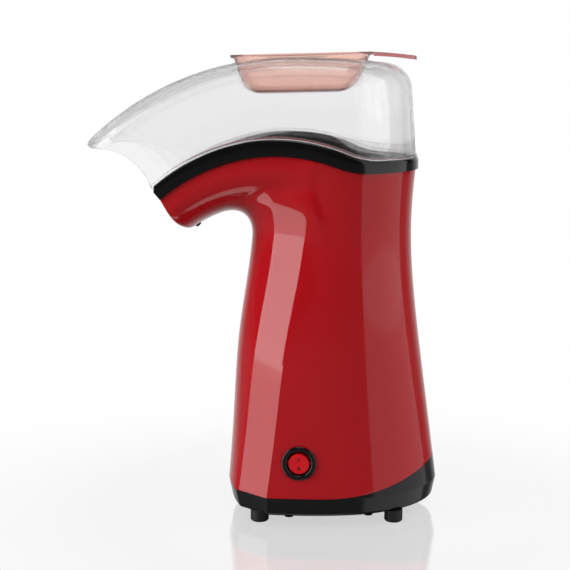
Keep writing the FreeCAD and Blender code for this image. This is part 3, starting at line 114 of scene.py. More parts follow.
table_reach, table_grey, table_polish, polish_blur = 6.0, 0.4, 0.55, 0.1
fade_distance, fade_share, glow_strength = (0.16, 0.42), (0.5, 1.0), (1.2, 1.0)
table_mesh = bpy.data.meshes.new("table_top")
table_mesh.from_pydata([(table_reach * x, table_reach * y, 0) for x, y in ((-1, -1), (1, -1), (1, 1), (-1, 1))], [],
                       [(0, 1, 2, 3)])
table = bpy.data.objects.new("table_top", table_mesh)
scene.collection.objects.link(table)
pale = bpy.data.materials.new("pale_table")
pale.use_nodes = True
tree = pale.node_tree
tree.nodes.clear()
surface = tree.nodes.new("ShaderNodeOutputMaterial")
lit = tree.nodes.new("ShaderNodeBsdfDiffuse")
lit.inputs["Color"].default_value = (table_grey, table_grey, table_grey, 1)
mirror = tree.nodes.new("ShaderNodeBsdfGlossy")
mirror.inputs["Roughness"].default_value = polish_blur
mirror.inputs["Color"].default_value = (1, 1, 1, 1)
polish = tree.nodes.new("ShaderNodeMixShader")
polish.inputs[0].default_value = table_polish
white = tree.nodes.new("ShaderNodeEmission")
part_white = tree.nodes.new("ShaderNodeMixShader")
where = tree.nodes.new("ShaderNodeTexCoord")
far = tree.nodes.new("ShaderNodeVectorMath")
far.operation = "LENGTH"
fade = map_range(tree, fade_distance, fade_share)
glow = map_range(tree, fade_share, glow_strength)
share = tree.nodes.new("ShaderNodeMath")
share.operation = "MULTIPLY"
tree.links.new(where.outputs["Object"], far.inputs[0])
tree.links.new(far.outputs["Value"], fade.inputs["Value"])
tree.links.new(fade.outputs["Result"], glow.inputs["Value"])
tree.links.new(glow.outputs["Result"], white.inputs["Strength"])
tree.links.new(seen_or_through(tree), share.inputs[0])
tree.links.new(fade.outputs["Result"], share.inputs[1])
tree.links.new(lit.outputs[0], polish.inputs[1])
tree.links.new(mirror.outputs[0], polish.inputs[2])
tree.links.new(share.outputs[0], part_white.inputs[0])
tree.links.new(polish.outputs[0], part_white.inputs[1])
tree.links.new(white.outputs[0], part_white.inputs[2])
tree.links.new(part_white.outputs[0], surface.inputs[0])
table_mesh.materials.append(pale)

eye = bpy.data.cameras.new("photo_camera")
eye.lens = 82.4
eye.sensor_width = 36.0
camera = bpy.data.objects.new("photo_camera", eye)
camera.location = (0.0454, -0.8916, 0.313)
camera.rotation_euler = (math.radians(80), 0, math.radians(5))
scene.collection.objects.link(camera)
scene.camera = camera


# Base: glossy black moulded tray with a band that rises at the back, carrying the works.
# It is screwed to the housing from below, and its floor has air slots.

def moulded(name, colour, roughness, grain, depth):
    """Moulded plastic: faint flow marks in the gloss and a fine surface grain, sizes in millimetres."""
    material = bpy.data.materials.new(name)
    material.use_nodes = True
    nodes_of = material.node_tree.nodes
    links = material.node_tree.links
    shader = nodes_of["Principled BSDF"]
    place = nodes_of.new("ShaderNodeTexCoord")
    flow = nodes_of.new("ShaderNodeTexNoise")
    flow.inputs["Scale"].default_value = 18.0
    flow.inputs["Detail"].default_value = 3.0
    gloss = map_range(material.node_tree, (0, 1), (roughness * 0.8, roughness * 1.25))
    tint = nodes_of.new("ShaderNodeMixRGB")
    tint.inputs[1].default_value = [c * 0.94 for c in colour] + [1]
    tint.inputs[2].default_value = [min(1, c * 1.06) for c in colour] + [1]
    fine = nodes_of.new("ShaderNodeTexNoise")
    fine.inputs["Scale"].default_value = 1000.0 / grain
    fine.inputs["Detail"].default_value = 2.0
    bump = nodes_of.new("ShaderNodeBump")
    bump.inputs["Strength"].default_value = 0.3
    bump.inputs["Distance"].default_value = depth / 1000.0
    for texture in (flow, fine):
        links.new(place.outputs["Object"], texture.inputs["Vector"])
    links.new(flow.outputs["Fac"], gloss.inputs["Value"])
    links.new(flow.outputs["Fac"], tint.inputs[0])
    links.new(fine.outputs["Fac"], bump.inputs["Height"])
    links.new(gloss.outputs["Result"], shader.inputs["Roughness"])
    links.new(tint.outputs["Color"], shader.inputs["Base Color"])
    links.new(bump.outputs["Normal"], shader.inputs["Normal"])
    return material


def dress(node, material):
    """Give a carried-over solid its finish."""
    for slot in nodes[node].material_slots:
        slot.material = material


black_gloss = moulded("black_gloss", (0.006, 0.006, 0.006), 0.12, 1.2, 0.004)
dress("base", black_gloss)


# Feet: four black rubber pads, moulded round with a small lead at the bottom edge.
# Each is pressed into the base floor, near a corner.

black_rubber = moulded("black_rubber", (0.012, 0.012, 0.012), 0.55, 0.5, 0.03)
foot_places = ((-0.046, -0.045), (-0.046, 0.045), (0.045, -0.038), (0.045, 0.038))
feet_mesh = bpy.data.meshes.new("rubber_feet")
feet_mesh.from_pydata([(x, y, 0) for x, y in foot_places], [], [])
feet = bpy.data.objects.new("rubber_feet", feet_mesh)
scene.collection.objects.link(feet)
tree = bpy.data.node_groups.new("feet_on_points", "GeometryNodeTree")
tree.interface.new_socket("Geometry", in_out="INPUT", socket_type="NodeSocketGeometry")
foot_sizes = {"Radius": 0.0062, "Lead": 0.0008, "Height": 0.0082}
foot_sides = 48
foot_keys = {name: tree.interface.new_socket(name, in_out="INPUT", socket_type="NodeSocketFloat").identifier
             for name in foot_sizes}
tree.interface.new_socket("Geometry", in_out="OUTPUT", socket_type="NodeSocketGeometry")


def tree_node(kind, **settings):
    """New node in the feet's tree."""
    made = tree.nodes.new(kind)
    for key, value in settings.items():
        setattr(made, key, value)
    return made


def tree_math(operation, first, second):
    """Sum, difference or product of two sizes in a node tree."""
    made = tree_node("ShaderNodeMath", operation=operation)
    for socket, value in zip(made.inputs, (first, second)):
        if isinstance(value, float):
            socket.default_value = value
        else:
            tree.links.new(value, socket)
    return made.outputs[0]


given = tree_node("NodeGroupInput")
result = tree_node("NodeGroupOutput")
radius, lead, height = (given.outputs[name] for name in foot_sizes)
lead_cone = tree_node("GeometryNodeMeshCone", fill_type="NGON")
lead_cone.inputs["Vertices"].default_value = foot_sides
tree.links.new(tree_math("SUBTRACT", radius, lead), lead_cone.inputs["Radius Bottom"])
tree.links.new(radius, lead_cone.inputs["Radius Top"])
tree.links.new(lead, lead_cone.inputs["Depth"])
pad = tree_node("GeometryNodeMeshCylinder", fill_type="NGON")
pad.inputs["Vertices"].default_value = foot_sides
tree.links.new(radius, pad.inputs["Radius"])
pad_height = tree_math("SUBTRACT", height, lead)
tree.links.new(pad_height, pad.inputs["Depth"])
lift = tree_node("ShaderNodeCombineXYZ")
tree.links.new(tree_math("ADD", lead, tree_math("MULTIPLY", pad_height, 0.5)), lift.inputs["Z"])
raised = tree_node("GeometryNodeTransform")
tree.links.new(pad.outputs["Mesh"], raised.inputs["Geometry"])
tree.links.new(lift.outputs[0], raised.inputs["Translation"])
joined = tree_node("GeometryNodeJoinGeometry")
tree.links.new(lead_cone.outputs["Mesh"], joined.inputs[0])
tree.links.new(raised.outputs[0], joined.inputs[0])
each = tree_node("GeometryNodeInstanceOnPoints")
tree.links.new(given.outputs["Geometry"], each.inputs["Points"])
tree.links.new(joined.outputs[0], each.inputs["Instance"])
solid = tree_node("GeometryNodeRealizeInstances")
tree.links.new(each.outputs[0], solid.inputs[0])
finish = tree_node("GeometryNodeSetMaterial")
finish.inputs["Material"].default_value = black_rubber
tree.links.new(solid.outputs[0], finish.inputs["Geometry"])
tree.links.new(finish.outputs[0], result.inputs[0])
maker = feet.modifiers.new("feet", "NODES")
maker.node_group = tree
for name, size in foot_sizes.items():
    maker[foot_keys[name]] = size
feet.data = bpy.data.meshes.new_from_object(feet.evaluated_get(bpy.context.evaluated_depsgraph_get()))
feet.modifiers.clear()
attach(feet, "body")
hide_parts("feet")


# Works: the pieces closed in by the housing, from the cord bush up to the popping chamber and its gasket.
# Turned, pressed or spun metal, moulded nylon, mica and a small circuit board, carried by the base.

def metal(name, colour, roughness, streak):
    """Bare metal with fine turning marks that run round the upright axis."""
    material = bpy.data.materials.new(name)
    material.use_nodes = True
    nodes_of = material.node_tree.nodes
    links = material.node_tree.links
    shader = nodes_of["Principled BSDF"]
    shader.inputs["Metallic"].default_value = 1.0
    place = nodes_of.new("ShaderNodeTexCoord")
    stretch = nodes_of.new("ShaderNodeMapping")
    stretch.inputs["Scale"].default_value = (30, 30, streak)
    marks = nodes_of.new("ShaderNodeTexNoise")
    marks.inputs["Scale"].default_value = 1.0
    marks.inputs["Detail"].default_value = 4.0
    gloss = map_range(material.node_tree, (0, 1), (roughness * 0.6, roughness * 1.4))
    tint = nodes_of.new("ShaderNodeMixRGB")
    tint.inputs[1].default_value = [c * 0.88 for c in colour] + [1]
    tint.inputs[2].default_value = [min(1, c * 1.08) for c in colour] + [1]
    links.new(place.outputs["Object"], stretch.inputs["Vector"])
    links.new(stretch.outputs["Vector"], marks.inputs["Vector"])
    links.new(marks.outputs["Fac"], gloss.inputs["Value"])
    links.new(marks.outputs["Fac"], tint.inputs[0])
    links.new(gloss.outputs["Result"], shader.inputs["Roughness"])
    links.new(tint.outputs["Color"], shader.inputs["Base Color"])
    return material


black_matte = moulded("black_matte", (0.015, 0.015, 0.015), 0.45, 0.6, 0.02)
white_nylon = moulded("white_nylon", (0.8, 0.79, 0.74), 0.4, 1.0, 0.01)
zinc_steel = metal("zinc_steel", (0.6, 0.61, 0.63), 0.3, 900)
black_steel = metal("black_steel", (0.03, 0.03, 0.032), 0.35, 900)
spun_aluminium = metal("spun_aluminium", (0.78, 0.78, 0.79), 0.32, 1600)
sintered_bronze = metal("sintered_bronze", (0.62, 0.44, 0.25), 0.42, 300)
bare_copper = metal("bare_copper", (0.7, 0.4, 0.26), 0.3, 600)
ferrite = moulded("ferrite", (0.1, 0.1, 0.11), 0.5, 0.8, 0.02)
green_board = moulded("green_board", (0.1, 0.24, 0.09), 0.35, 1.5, 0.01)
mica_sheet = moulded("mica_sheet", (0.66, 0.6, 0.48), 0.35, 4.0, 0.05)
grey_silicone = moulded("grey_silicone", (0.6, 0.6, 0.57), 0.5, 0.8, 0.02)
for node, finish in {
        "cord_gland": black_matte,
        "fan_housing": black_matte, "motor_can": zinc_steel, "motor_end_cap": white_nylon,
        "lower_bearing": sintered_bronze, "upper_bearing": sintered_bronze, "motor_magnets": ferrite,
        "motor_screws": zinc_steel, "rectifier_board": green_board, "motor_shaft": zinc_steel,
        "armature": zinc_steel, "commutator": bare_copper, "fan_impeller": white_nylon,
        "air_duct": spun_aluminium, "heater_frame": mica_sheet, "heating_coil": zinc_steel,
        "thermostat": zinc_steel, "thermal_fuse": spun_aluminium, "switch_terminals": bare_copper,
        "popping_chamber": spun_aluminium, "chamber_gasket": grey_silicone}.items():
    dress(node, finish)


# Floor screws: black steel screws with low flat heads, cold formed and blackened.
# They are driven up through the base floor into the works and the housing, and their heads lie on its underside.

floor_under = 0.008
head_share = 0.3
for node, name in (("base_screws", "low_base_screws"), ("housing_screws", "low_housing_screws")):
    form = bmesh.new()
    form.from_mesh(nodes[node].data)
    bmesh.ops.remove_doubles(form, verts=form.verts, dist=1e-6)
    for vert in form.verts:
        if vert.co.z < floor_under:
            vert.co.z = floor_under - (floor_under - vert.co.z) * head_share
    screw_mesh = bpy.data.meshes.new(name)
    form.to_mesh(screw_mesh)
    form.free()
    screw_mesh.materials.append(black_steel)
    floor_screws = bpy.data.objects.new(name, screw_mesh)
    scene.collection.objects.link(floor_screws)
    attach(floor_screws, "body")
    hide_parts(node)


# Housing: two glossy red half shells moulded with the spout, screwed together on the middle plane.
# A flat facet each side of the front runs up and fades into the blend under the spout.

shell_wall = 2.5
levels = {
    "low": dict(z=6.0, front=72.8, back=76.0, half=61.8, widest=-12.0, facet=((-63.9, 45.7), (-41.6, 62.6))),
    "mid": dict(z=125.0, front=64.2, back=60.0, half=57.6, widest=-5.0, facet=((-48.8, 43.6), (-26.6, 57.8))),
}
seam_z = 21.0
neck = (205.0, 54.3)
flare = (262.0, 59.5)
facet_angles = (130.0, 104.0)
arc_steps, facet_steps, side_steps = 14, 10, 46


def curve_through(knots, values, at):
    """Smooth natural curve through rows of values, read at some places."""
    knots = np.asarray(knots, float)
    values = np.asarray(values, float)
    shape = values.shape[1:]
    flat = values.reshape(len(knots), -1)
    gaps = np.diff(knots)
    count = len(knots)
    system = np.eye(count)
    right = np.zeros_like(flat)
    for i in range(1, count - 1):
        system[i, i - 1:i + 2] = gaps[i - 1], 2 * (gaps[i - 1] + gaps[i]), gaps[i]
        right[i] = 6 * ((flat[i + 1] - flat[i]) / gaps[i] - (flat[i] - flat[i - 1]) / gaps[i - 1])
    bend = np.linalg.solve(system, right)
    at = np.atleast_1d(np.asarray(at, float))
    cell = np.clip(np.searchsorted(knots, at) - 1, 0, count - 2)
    width = gaps[cell][:, None]
    left = (knots[cell + 1][:, None] - at[:, None]) / width
    rest = 1 - left
    curve = left * flat[cell] + rest * flat[cell + 1]
    curve += ((left ** 3 - left) * bend[cell] + (rest ** 3 - rest) * bend[cell + 1]) * width ** 2 / 6
    return curve.reshape((len(at),) + shape)


def plan_outline(front, back, half, widest, facet):
    """Closed plan outline: round front, flat facet and oval side, near side first."""
    corner_x, corner_y = facet[0]
    rise = front + corner_x
    radius = (rise ** 2 + corner_y ** 2) / (2 * rise)
    swing = math.asin(min(1.0, corner_y / radius))
    near = []
    for i in range(arc_steps):
        angle = swing * i / arc_steps
        near.append((-front + radius * (1 - math.cos(angle)), radius * math.sin(angle)))
    for i in range(facet_steps):
        share = i / facet_steps
        near.append((corner_x + share * (facet[1][0] - corner_x), corner_y + share * (facet[1][1] - corner_y)))
    side = [facet[1]]
    for share in (0.12, 0.62):
        side.append((widest + share * (back - widest), half * math.sqrt(1 - share ** 2)))
    side.append((back, 0.0))
    side += [(x, -y) for x, y in side[-2::-1]]
    side = np.array(side)
    along = np.concatenate([[0], np.cumsum(np.hypot(*np.diff(side, axis=0).T))])
    turn = curve_through(along, side, np.linspace(0, along[-1], 2 * side_steps + 1))
    near += [tuple(p) for p in turn[:side_steps + 1]]
    far = [(x, -y) for x, y in near[-2:0:-1]]
    return np.array([(x, -y) for x, y in near + far])


def mixed_level(share):
    """Outline part of the way up from the low level to the mid level."""
    low, mid = levels["low"], levels["mid"]

    def between(a, b):
        return np.asarray(a) + share * (np.asarray(b) - np.asarray(a))

    return between(low["z"], mid["z"]), plan_outline(
        *(float(between(low[key], mid[key])) for key in ("front", "back", "half", "widest")),
        [tuple(p) for p in between(low["facet"], mid["facet"])])


def round_level(height, radius):
    """Round outline at a height, with places for the facet's corners."""
    corners = [(radius * math.cos(math.radians(a)), radius * math.sin(math.radians(a))) for a in facet_angles]
    return height, plan_outline(radius, radius, radius, 0.0, corners)


seam_share = (seam_z - levels["low"]["z"]) / (levels["mid"]["z"] - levels["low"]["z"])
stack = [mixed_level(seam_share), mixed_level(0.5), mixed_level(1.0), round_level(*neck), round_level(*flare)]
stack_z = [float(level[0]) for level in stack]
stack_rings = np.array([level[1] for level in stack])


def body_rings(heights):
    """Outlines of the upright body at some heights."""
    return curve_through(stack_z, stack_rings, heights)


polar_z = np.linspace(15, 262, 100)
polar_angle = np.linspace(-math.pi, math.pi, 1081)
polar_reach = []
for ring in body_rings(polar_z):
    angles = np.arctan2(ring[:, 1], ring[:, 0])
    order = np.argsort(angles)
    polar_reach.append(np.interp(polar_angle, angles[order], np.hypot(*ring.T)[order], period=2 * math.pi))
polar_reach = np.array(polar_reach)

bend_x, edge_crest_z, edge_radius = -33.0, 248.4, 113.0
bend_z = edge_crest_z - edge_radius
edge_back = (28.0, 237.4)
lift_from, lift_span, lift_rate = -70.0, 60.0, 0.0011
seam_radius, seam_reach = 161.0, 110.0
spout_taper = math.radians(5.84)
spout_plan, spout_behind = 56.4, -12.8
trough_foot = edge_radius - 5.0
trough_power, trough_least = 2.3, 5.0
trough_angles, trough_depths = (28.0, 42.8), (31.0, 27.0)
mouth_corner, mouth_lean = (-112.0, 219.9), math.radians(60.0)
blend_side, blend_under = 3.0, 22.0
lip_depth, lip_radius = 4.2, 5.0
above_edge = 9.0


def smooth_step(low, high, value):
    """Share from 0 to 1 that starts and ends gently."""
    share = np.clip((value - low) / (high - low), 0, 1)
    return share * share * (3 - 2 * share)


def outside_body(x, y, z):
    """About how far a point is outside the upright body."""
    column = (np.arctan2(y, x) + math.pi) / (2 * math.pi) * (len(polar_angle) - 1)
    row = np.clip((z - polar_z[0]) / (polar_z[1] - polar_z[0]), 0, len(polar_z) - 1.001)
    c0 = np.clip(column.astype(int), 0, len(polar_angle) - 2)
    r0 = row.astype(int)
    c = column - c0
    r = row - r0
    reach = (polar_reach[r0, c0] * (1 - c) + polar_reach[r0, c0 + 1] * c) * (1 - r)
    reach += (polar_reach[r0 + 1, c0] * (1 - c) + polar_reach[r0 + 1, c0 + 1] * c) * r
    return np.hypot(x, y) - reach


def before_mouth(x, z, lean=mouth_lean):
    """Distance of a point in front of the leaning mouth of the spout."""
    return -(x - mouth_corner[0]) * math.sin(lean) - (z - mouth_corner[1]) * math.cos(lean)


def outside_spout(x, y, z):
    """About how far a point is outside the trough of the spout, and how far down in it the point is."""
    angle = np.degrees(np.arctan2(bend_x - x, z - bend_z))
    radius = np.hypot(bend_x - x, z - bend_z)
    top_x = bend_x - edge_radius * np.sin(np.radians(angle))
    half = np.maximum((spout_plan + top_x * math.sin(spout_taper)) / math.cos(spout_taper), trough_least)
    along = (angle - trough_angles[0]) / (trough_angles[1] - trough_angles[0])
    depth = trough_foot - edge_radius + trough_depths[0] + along * (trough_depths[1] - trough_depths[0])
    depth = np.maximum(depth, trough_least)
    across = np.abs(y) / half
    down = np.maximum(trough_foot - radius, 1e-3) / depth
    reach = (across ** trough_power + down ** trough_power) ** (1 / trough_power) + 1e-6
    slope = reach ** (1 - trough_power) * np.hypot(across ** (trough_power - 1) / half,
                                                   down ** (trough_power - 1) / depth) + 1e-6
    gap = np.where(radius > trough_foot, np.abs(y) - half, (reach - 1) / slope)
    behind = np.radians(spout_behind - angle) * radius
    return np.maximum(gap, behind), np.where(radius > trough_foot, 0, down)


def edge_height(x, crest_z=edge_crest_z, crest_radius=edge_radius, back_x=edge_back[0], back_z=edge_back[1]):
    """Height of a wavy edge: convex over the crest, hollow behind it, level at the back."""
    x = np.asarray(x, float)
    across = back_x - bend_x
    bend = 2 * math.atan2(crest_z - back_z, across)
    hollow = across / math.sin(bend) - crest_radius
    change = bend_x + crest_radius * math.sin(bend)
    from_crest = np.clip(x - bend_x, -0.95 * crest_radius, crest_radius)
    over = crest_z - crest_radius + np.sqrt(crest_radius ** 2 - from_crest ** 2)
    from_back = np.clip(back_x - x, 0, hollow)
    under = back_z + hollow - np.sqrt(hollow ** 2 - from_back ** 2)
    lift = lift_rate * np.clip(lift_from - x, 0, lift_span) ** 2
    return np.where(x < change, over + lift, under)


def seam_height(x):
    """Height of the seam over the base, which rises in an arc behind the middle."""
    rise = np.clip(np.asarray(x, float), 0, seam_reach)
    return seam_z + seam_radius - np.sqrt(seam_radius ** 2 - rise ** 2)


def outside_housing(x, y, z):
    """About how far a point is outside the body and spout together, blended under the spout and round at its lip."""
    body = outside_body(x, y, z)
    spout, down = outside_spout(x, y, z)
    low = smooth_step(0.25, 0.9, down)
    blend = blend_side + (blend_under - blend_side) * low
    near = np.maximum(blend - np.abs(body - spout), 0) / blend
    both = np.minimum(body, spout) - near * near * blend / 4
    near_lip = np.clip(lip_depth + before_mouth(x, z), 0.0, lip_depth)
    both = both + smooth_step(0.1, 0.8, down) * (lip_radius - np.sqrt(lip_radius ** 2 - near_lip ** 2))
    return np.maximum(both, z - edge_height(x) - above_edge)


def cast(starts, ways, outside, far):
    """Points where rays first leave a form."""
    marks = np.linspace(0, far, 60)
    out = np.array([outside(*(starts + ways * mark).T) > 0 for mark in marks])
    first = np.maximum(out.argmax(axis=0), 1)
    near, away = marks[first - 1], marks[first]
    for _ in range(24):
        half = (near + away) / 2
        out = outside(*(starts + ways * half[:, None]).T) > 0
        away = np.where(out, half, away)
        near = np.where(out, near, half)
    return starts + ways * ((near + away) / 2)[:, None]


columns = stack_rings.shape[1]
body_reach, spout_reach = 150.0, 190.0
plain_z = np.arange(17.0, 149.0, 3.0)
blend_z = np.arange(150.0, 190.1, 2.5)
housing_rings = [np.column_stack([ring, np.full(columns, z)]) for z, ring in zip(plain_z, body_rings(plain_z))]
for z, ring in zip(blend_z, body_rings(blend_z)):
    ways = np.column_stack([ring / np.hypot(*ring.T)[:, None], np.zeros(columns)])
    starts = np.tile((0.0, 0.0, z), (columns, 1))
    housing_rings.append(cast(starts, ways, outside_housing, body_reach))
fan_steps = 76
fan_from, fan_to, fan_inner = np.array((-64.0, 0.0, 190.0)), np.array((-93.6, 0.0, 188.0)), (64.0, 21.0)
fan_angles = np.arctan2(ring[:, 1], ring[:, 0])
for i in range(1, fan_steps + 1):
    share = i / fan_steps
    lean = (math.pi - mouth_lean) * share
    out_way = np.array((math.cos(lean), 0.0, math.sin(lean)))
    start = fan_from + (fan_to - fan_from) * share + out_way * (fan_inner[0] + (fan_inner[1] - fan_inner[0]) * share)
    ways = np.outer(np.cos(fan_angles), out_way) + np.outer(np.sin(fan_angles), (0, 1, 0))
    housing_rings.append(cast(np.tile(start, (columns, 1)), ways, outside_housing, spout_reach))


def sheet_of(rings, closed=True):
    """Open sheet of four-sided faces through rows of points."""
    form = bmesh.new()
    rows = [[form.verts.new(p) for p in ring] for ring in rings]
    count = len(rows[0])
    for low, high in zip(rows, rows[1:]):
        for i in range(count if closed else count - 1):
            j = (i + 1) % count
            form.faces.new((low[i], low[j], high[j], high[i]))
    return form


def trim(form, over):
    """Cut a sheet where over() is zero and drop the side where it is positive."""
    points = np.array([v.co for v in form.verts])
    values = over(*points.T)
    value_of = {v: float(value) for v, value in zip(form.verts, values)}
    for edge in list(form.edges):
        a, b = edge.verts
        if value_of[a] * value_of[b] < -1e-12:
            share = value_of[a] / (value_of[a] - value_of[b])
            start, end = np.array(a.co), np.array(b.co)
            for _ in range(4):
                here = start + (end - start) * share
                miss = float(over(*here[:, None])[0])
                share = min(0.999, max(0.001, share - miss / (value_of[b] - value_of[a])))
            vert = bmesh.utils.edge_split(edge, a, share)[1]
            value_of[vert] = 0.0
    bmesh.ops.connect_verts(form, verts=[v for v in form.verts if abs(value_of[v]) < 1e-9])
    bmesh.ops.delete(form, geom=[v for v in form.verts if value_of[v] > 1e-9], context="VERTS")
    return form


def piece_of(name, form, material, wall=0.0, soften=0.0):
    """Turn a form in millimetres into a finished object in metres, with a wall and soft edges."""
    bmesh.ops.remove_doubles(form, verts=form.verts, dist=1e-4)
    bmesh.ops.recalc_face_normals(form, faces=form.faces)
    bmesh.ops.scale(form, vec=(0.001, 0.001, 0.001), verts=form.verts)
    mesh = bpy.data.meshes.new(name)
    form.to_mesh(mesh)
    form.free()
    mesh.materials.append(material)
    piece = bpy.data.objects.new(name, mesh)
    scene.collection.objects.link(piece)
    if wall:
        thick = piece.modifiers.new("wall", "SOLIDIFY")
        thick.thickness = wall / 1000
        thick.offset = -1
        thick.use_quality_normals = True
    if soften:
        soft = piece.modifiers.new("soft_edge", "BEVEL")
        soft.width = soften / 1000
        soft.segments = 2
        soft.limit_method = "ANGLE"
        soft.angle_limit = math.radians(50)
    if wall or soften:
        done = bpy.data.meshes.new_from_object(piece.evaluated_get(bpy.context.evaluated_depsgraph_get()))
        piece.modifiers.clear()
        piece.data = done
        done.name = name
    for polygon in piece.data.polygons:
        polygon.use_smooth = True
    piece.data.set_sharp_from_angle(angle=math.radians(32))
    return piece


switch_wall, switch_hole = (-18.0, -61.066, 45.7), 11.2
switch_lean = math.radians(2.6)
switch_out = np.array((0.0, -math.cos(switch_lean), math.sin(switch_lean)))


def off_switch_axis(x, y, z):
    """Distance of a point from the line through the switch."""
    off = np.array((x - switch_wall[0], y - switch_wall[1], z - switch_wall[2]))
    along = np.tensordot(switch_out, off, axes=(0, 0))
    return np.sqrt(np.maximum((off ** 2).sum(axis=0) - along ** 2, 0))


red_gloss = moulded("red_gloss", (0.5, 0.0075, 0.0125), 0.06, 2.0, 0.001)
seam_gap = 0.15
for side, name in ((-1, "housing_left"), (1, "housing_right")):
    picked = list(range(columns // 2 + 1)) if side < 0 else list(range(columns // 2, columns)) + [0]
    form = sheet_of([ring[picked] for ring in housing_rings], closed=False)
    trim(form, lambda x, y, z: z - edge_height(x))
    trim(form, lambda x, y, z: seam_height(x) + seam_gap - z)
    if side < 0:
        trim(form, lambda x, y, z: switch_hole - off_switch_axis(x, y, z))
    shell = piece_of(name + "_shell", form, red_gloss, shell_wall, 0.3)
    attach(shell, "body")
    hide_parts(name)


# Chute deck: matt black heat-proof plate, moulded, that leads from the chamber's rim down the spout.
# It lies on the chamber's flange and is held at the lip by one screw.

deck_z, deck_wall, deck_hole = 232.0, 2.0, 40.2
deck_bend, deck_end = 72.0, math.radians(53.0)
deck_back_x, deck_start_x = 52.0, -50.0
deck_gap, deck_mouth_gap = 1.2, 0.8
deck_turns = 24
deck_path = [(x, deck_z) for x in np.linspace(deck_back_x, deck_start_x, 44)]
for i in range(1, deck_turns + 1):
    turn = deck_end * i / deck_turns
    deck_path.append((deck_start_x - deck_bend * math.sin(turn), deck_z - deck_bend * (1 - math.cos(turn))))
deck_rows = []
across = np.linspace(0.0, 70.0, 281)
for x, z in deck_path:
    level = np.full(across.shape, z - deck_wall / 2)
    clear = outside_housing(np.full(across.shape, x), across, level) > -(shell_wall + deck_gap)
    half = across[clear.argmax()] if clear.any() else 0.0
    deck_rows.append([(x, half * share, z) for share in np.linspace(-1, 1, 33)])
form = sheet_of(deck_rows, closed=False)
trim(form, lambda x, y, z: deck_hole - np.hypot(x, y))
trim(form, lambda x, y, z: before_mouth(x, z) + deck_mouth_gap)
deck = piece_of("chute_floor", form, black_matte, deck_wall)
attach(deck, "body")
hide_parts("chute_deck")


# Spout screw: small black steel screw with a round head, cold formed.
# It is driven up through the underside of the lip into the deck's boss.

screw_angle = math.radians(44.0)
screw_foot = edge_radius - trough_depths[1]
screw_frame = Matrix.Translation((bend_x, 0, bend_z)) @ Matrix.Rotation(-screw_angle, 4, "Y")


def lathe(profile, turns=96):
    """Closed turned form about the local Z axis, profile from the axis and back to it."""
    angles = np.linspace(0, 2 * math.pi, turns, endpoint=False)
    rings = [np.column_stack([max(radius, 1e-4) * np.cos(angles), max(radius, 1e-4) * np.sin(angles),
                              np.full(turns, z)]) for radius, z in profile]
    form = sheet_of(rings)
    bmesh.ops.remove_doubles(form, verts=form.verts, dist=2e-3)
    return form


screw_profile = ((0, -0.9), (1.3, -0.9), (1.9, -0.6), (2.1, -0.1), (2.1, 1.2), (1.2, 1.2), (1.2, 9), (0, 9))
form = lathe([(radius, screw_foot + up) for radius, up in screw_profile], 40)
bmesh.ops.transform(form, matrix=screw_frame, verts=form.verts)
screw = piece_of("lip_screw", form, black_steel)
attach(screw, "body")
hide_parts("spout_screw")


# Collar: glossy black trim clipped over the housing's top edge, with a step that the lid stands in.
# One moulded strip that runs from one side of the mouth round the back to the other.

collar_radius, collar_inner, collar_foot = 58.3, 51.9, 55.0
step_out, step_in, step_depth = 56.9, 52.3, 2.6
collar_above_edge, collar_end_lean = 0.15, math.radians(49.0)
collar_pace, collar_run = 2.5, 112.0
collar_wave = dict(crest_z=259.0, crest_radius=119.0, back_x=35.0, back_z=245.2)


def plan_walk(step, run):
    """Stations round the collar's plan: outward way, forward way and distance from the round back."""
    stations = []
    count = int(run / step)
    side_way = np.array((-math.sin(spout_taper), -math.cos(spout_taper)))
    front_way = np.array((-math.cos(spout_taper), math.sin(spout_taper)))
    for i in range(count, 0, -1):
        stations.append((side_way, front_way, i * step))
    turns = 72
    start = -math.pi / 2 - spout_taper
    for i in range(turns + 1):
        angle = start - 2 * start * i / turns
        stations.append((np.array((math.cos(angle), math.sin(angle))), front_way, 0.0))
    for i in range(1, count + 1):
        stations.append((side_way * (1, -1), front_way * (1, -1), i * step))
    return stations


def plan_point(station, radius):
    """Place of a station at a radius from the plan's middle line."""
    outward, forward, run = station
    return outward * radius + forward * run


def close_ends(form):
    """Fill the open ends of a form."""
    bmesh.ops.holes_fill(form, edges=[e for e in form.edges if e.is_boundary])


collar_rows = []
for station in plan_walk(collar_pace, collar_run):
    x = plan_point(station, collar_radius)[0]
    low = float(edge_height(x)) + collar_above_edge
    top = float(edge_height(x, **collar_wave))
    profile = [(collar_radius, low), (collar_radius, (low + top) / 2), (collar_radius, top - 1.1),
               (collar_radius - 0.15, top - 0.5), (collar_radius - 0.5, top - 0.12), (collar_radius - 1.0, top),
               (step_out + 0.1, top - 0.15), (step_out, top - 0.5), (step_out, top - step_depth),
               (step_in, top - step_depth), (collar_inner, top - step_depth - 0.4), (collar_inner, low),
               (collar_foot, low)]
    collar_rows.append([(*plan_point(station, radius), z) for radius, z in profile])
form = sheet_of(collar_rows)
trim(form, lambda x, y, z: before_mouth(x, z, collar_end_lean))
close_ends(form)
collar = piece_of("collar_trim", form, black_gloss)
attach(collar, "body")
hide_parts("collar")


# Lid: clear polished hood, injection moulded in one piece with a bead over the collar.
# It stands in the collar's step, is open at the mouth and has an opening in its roof for the cup.

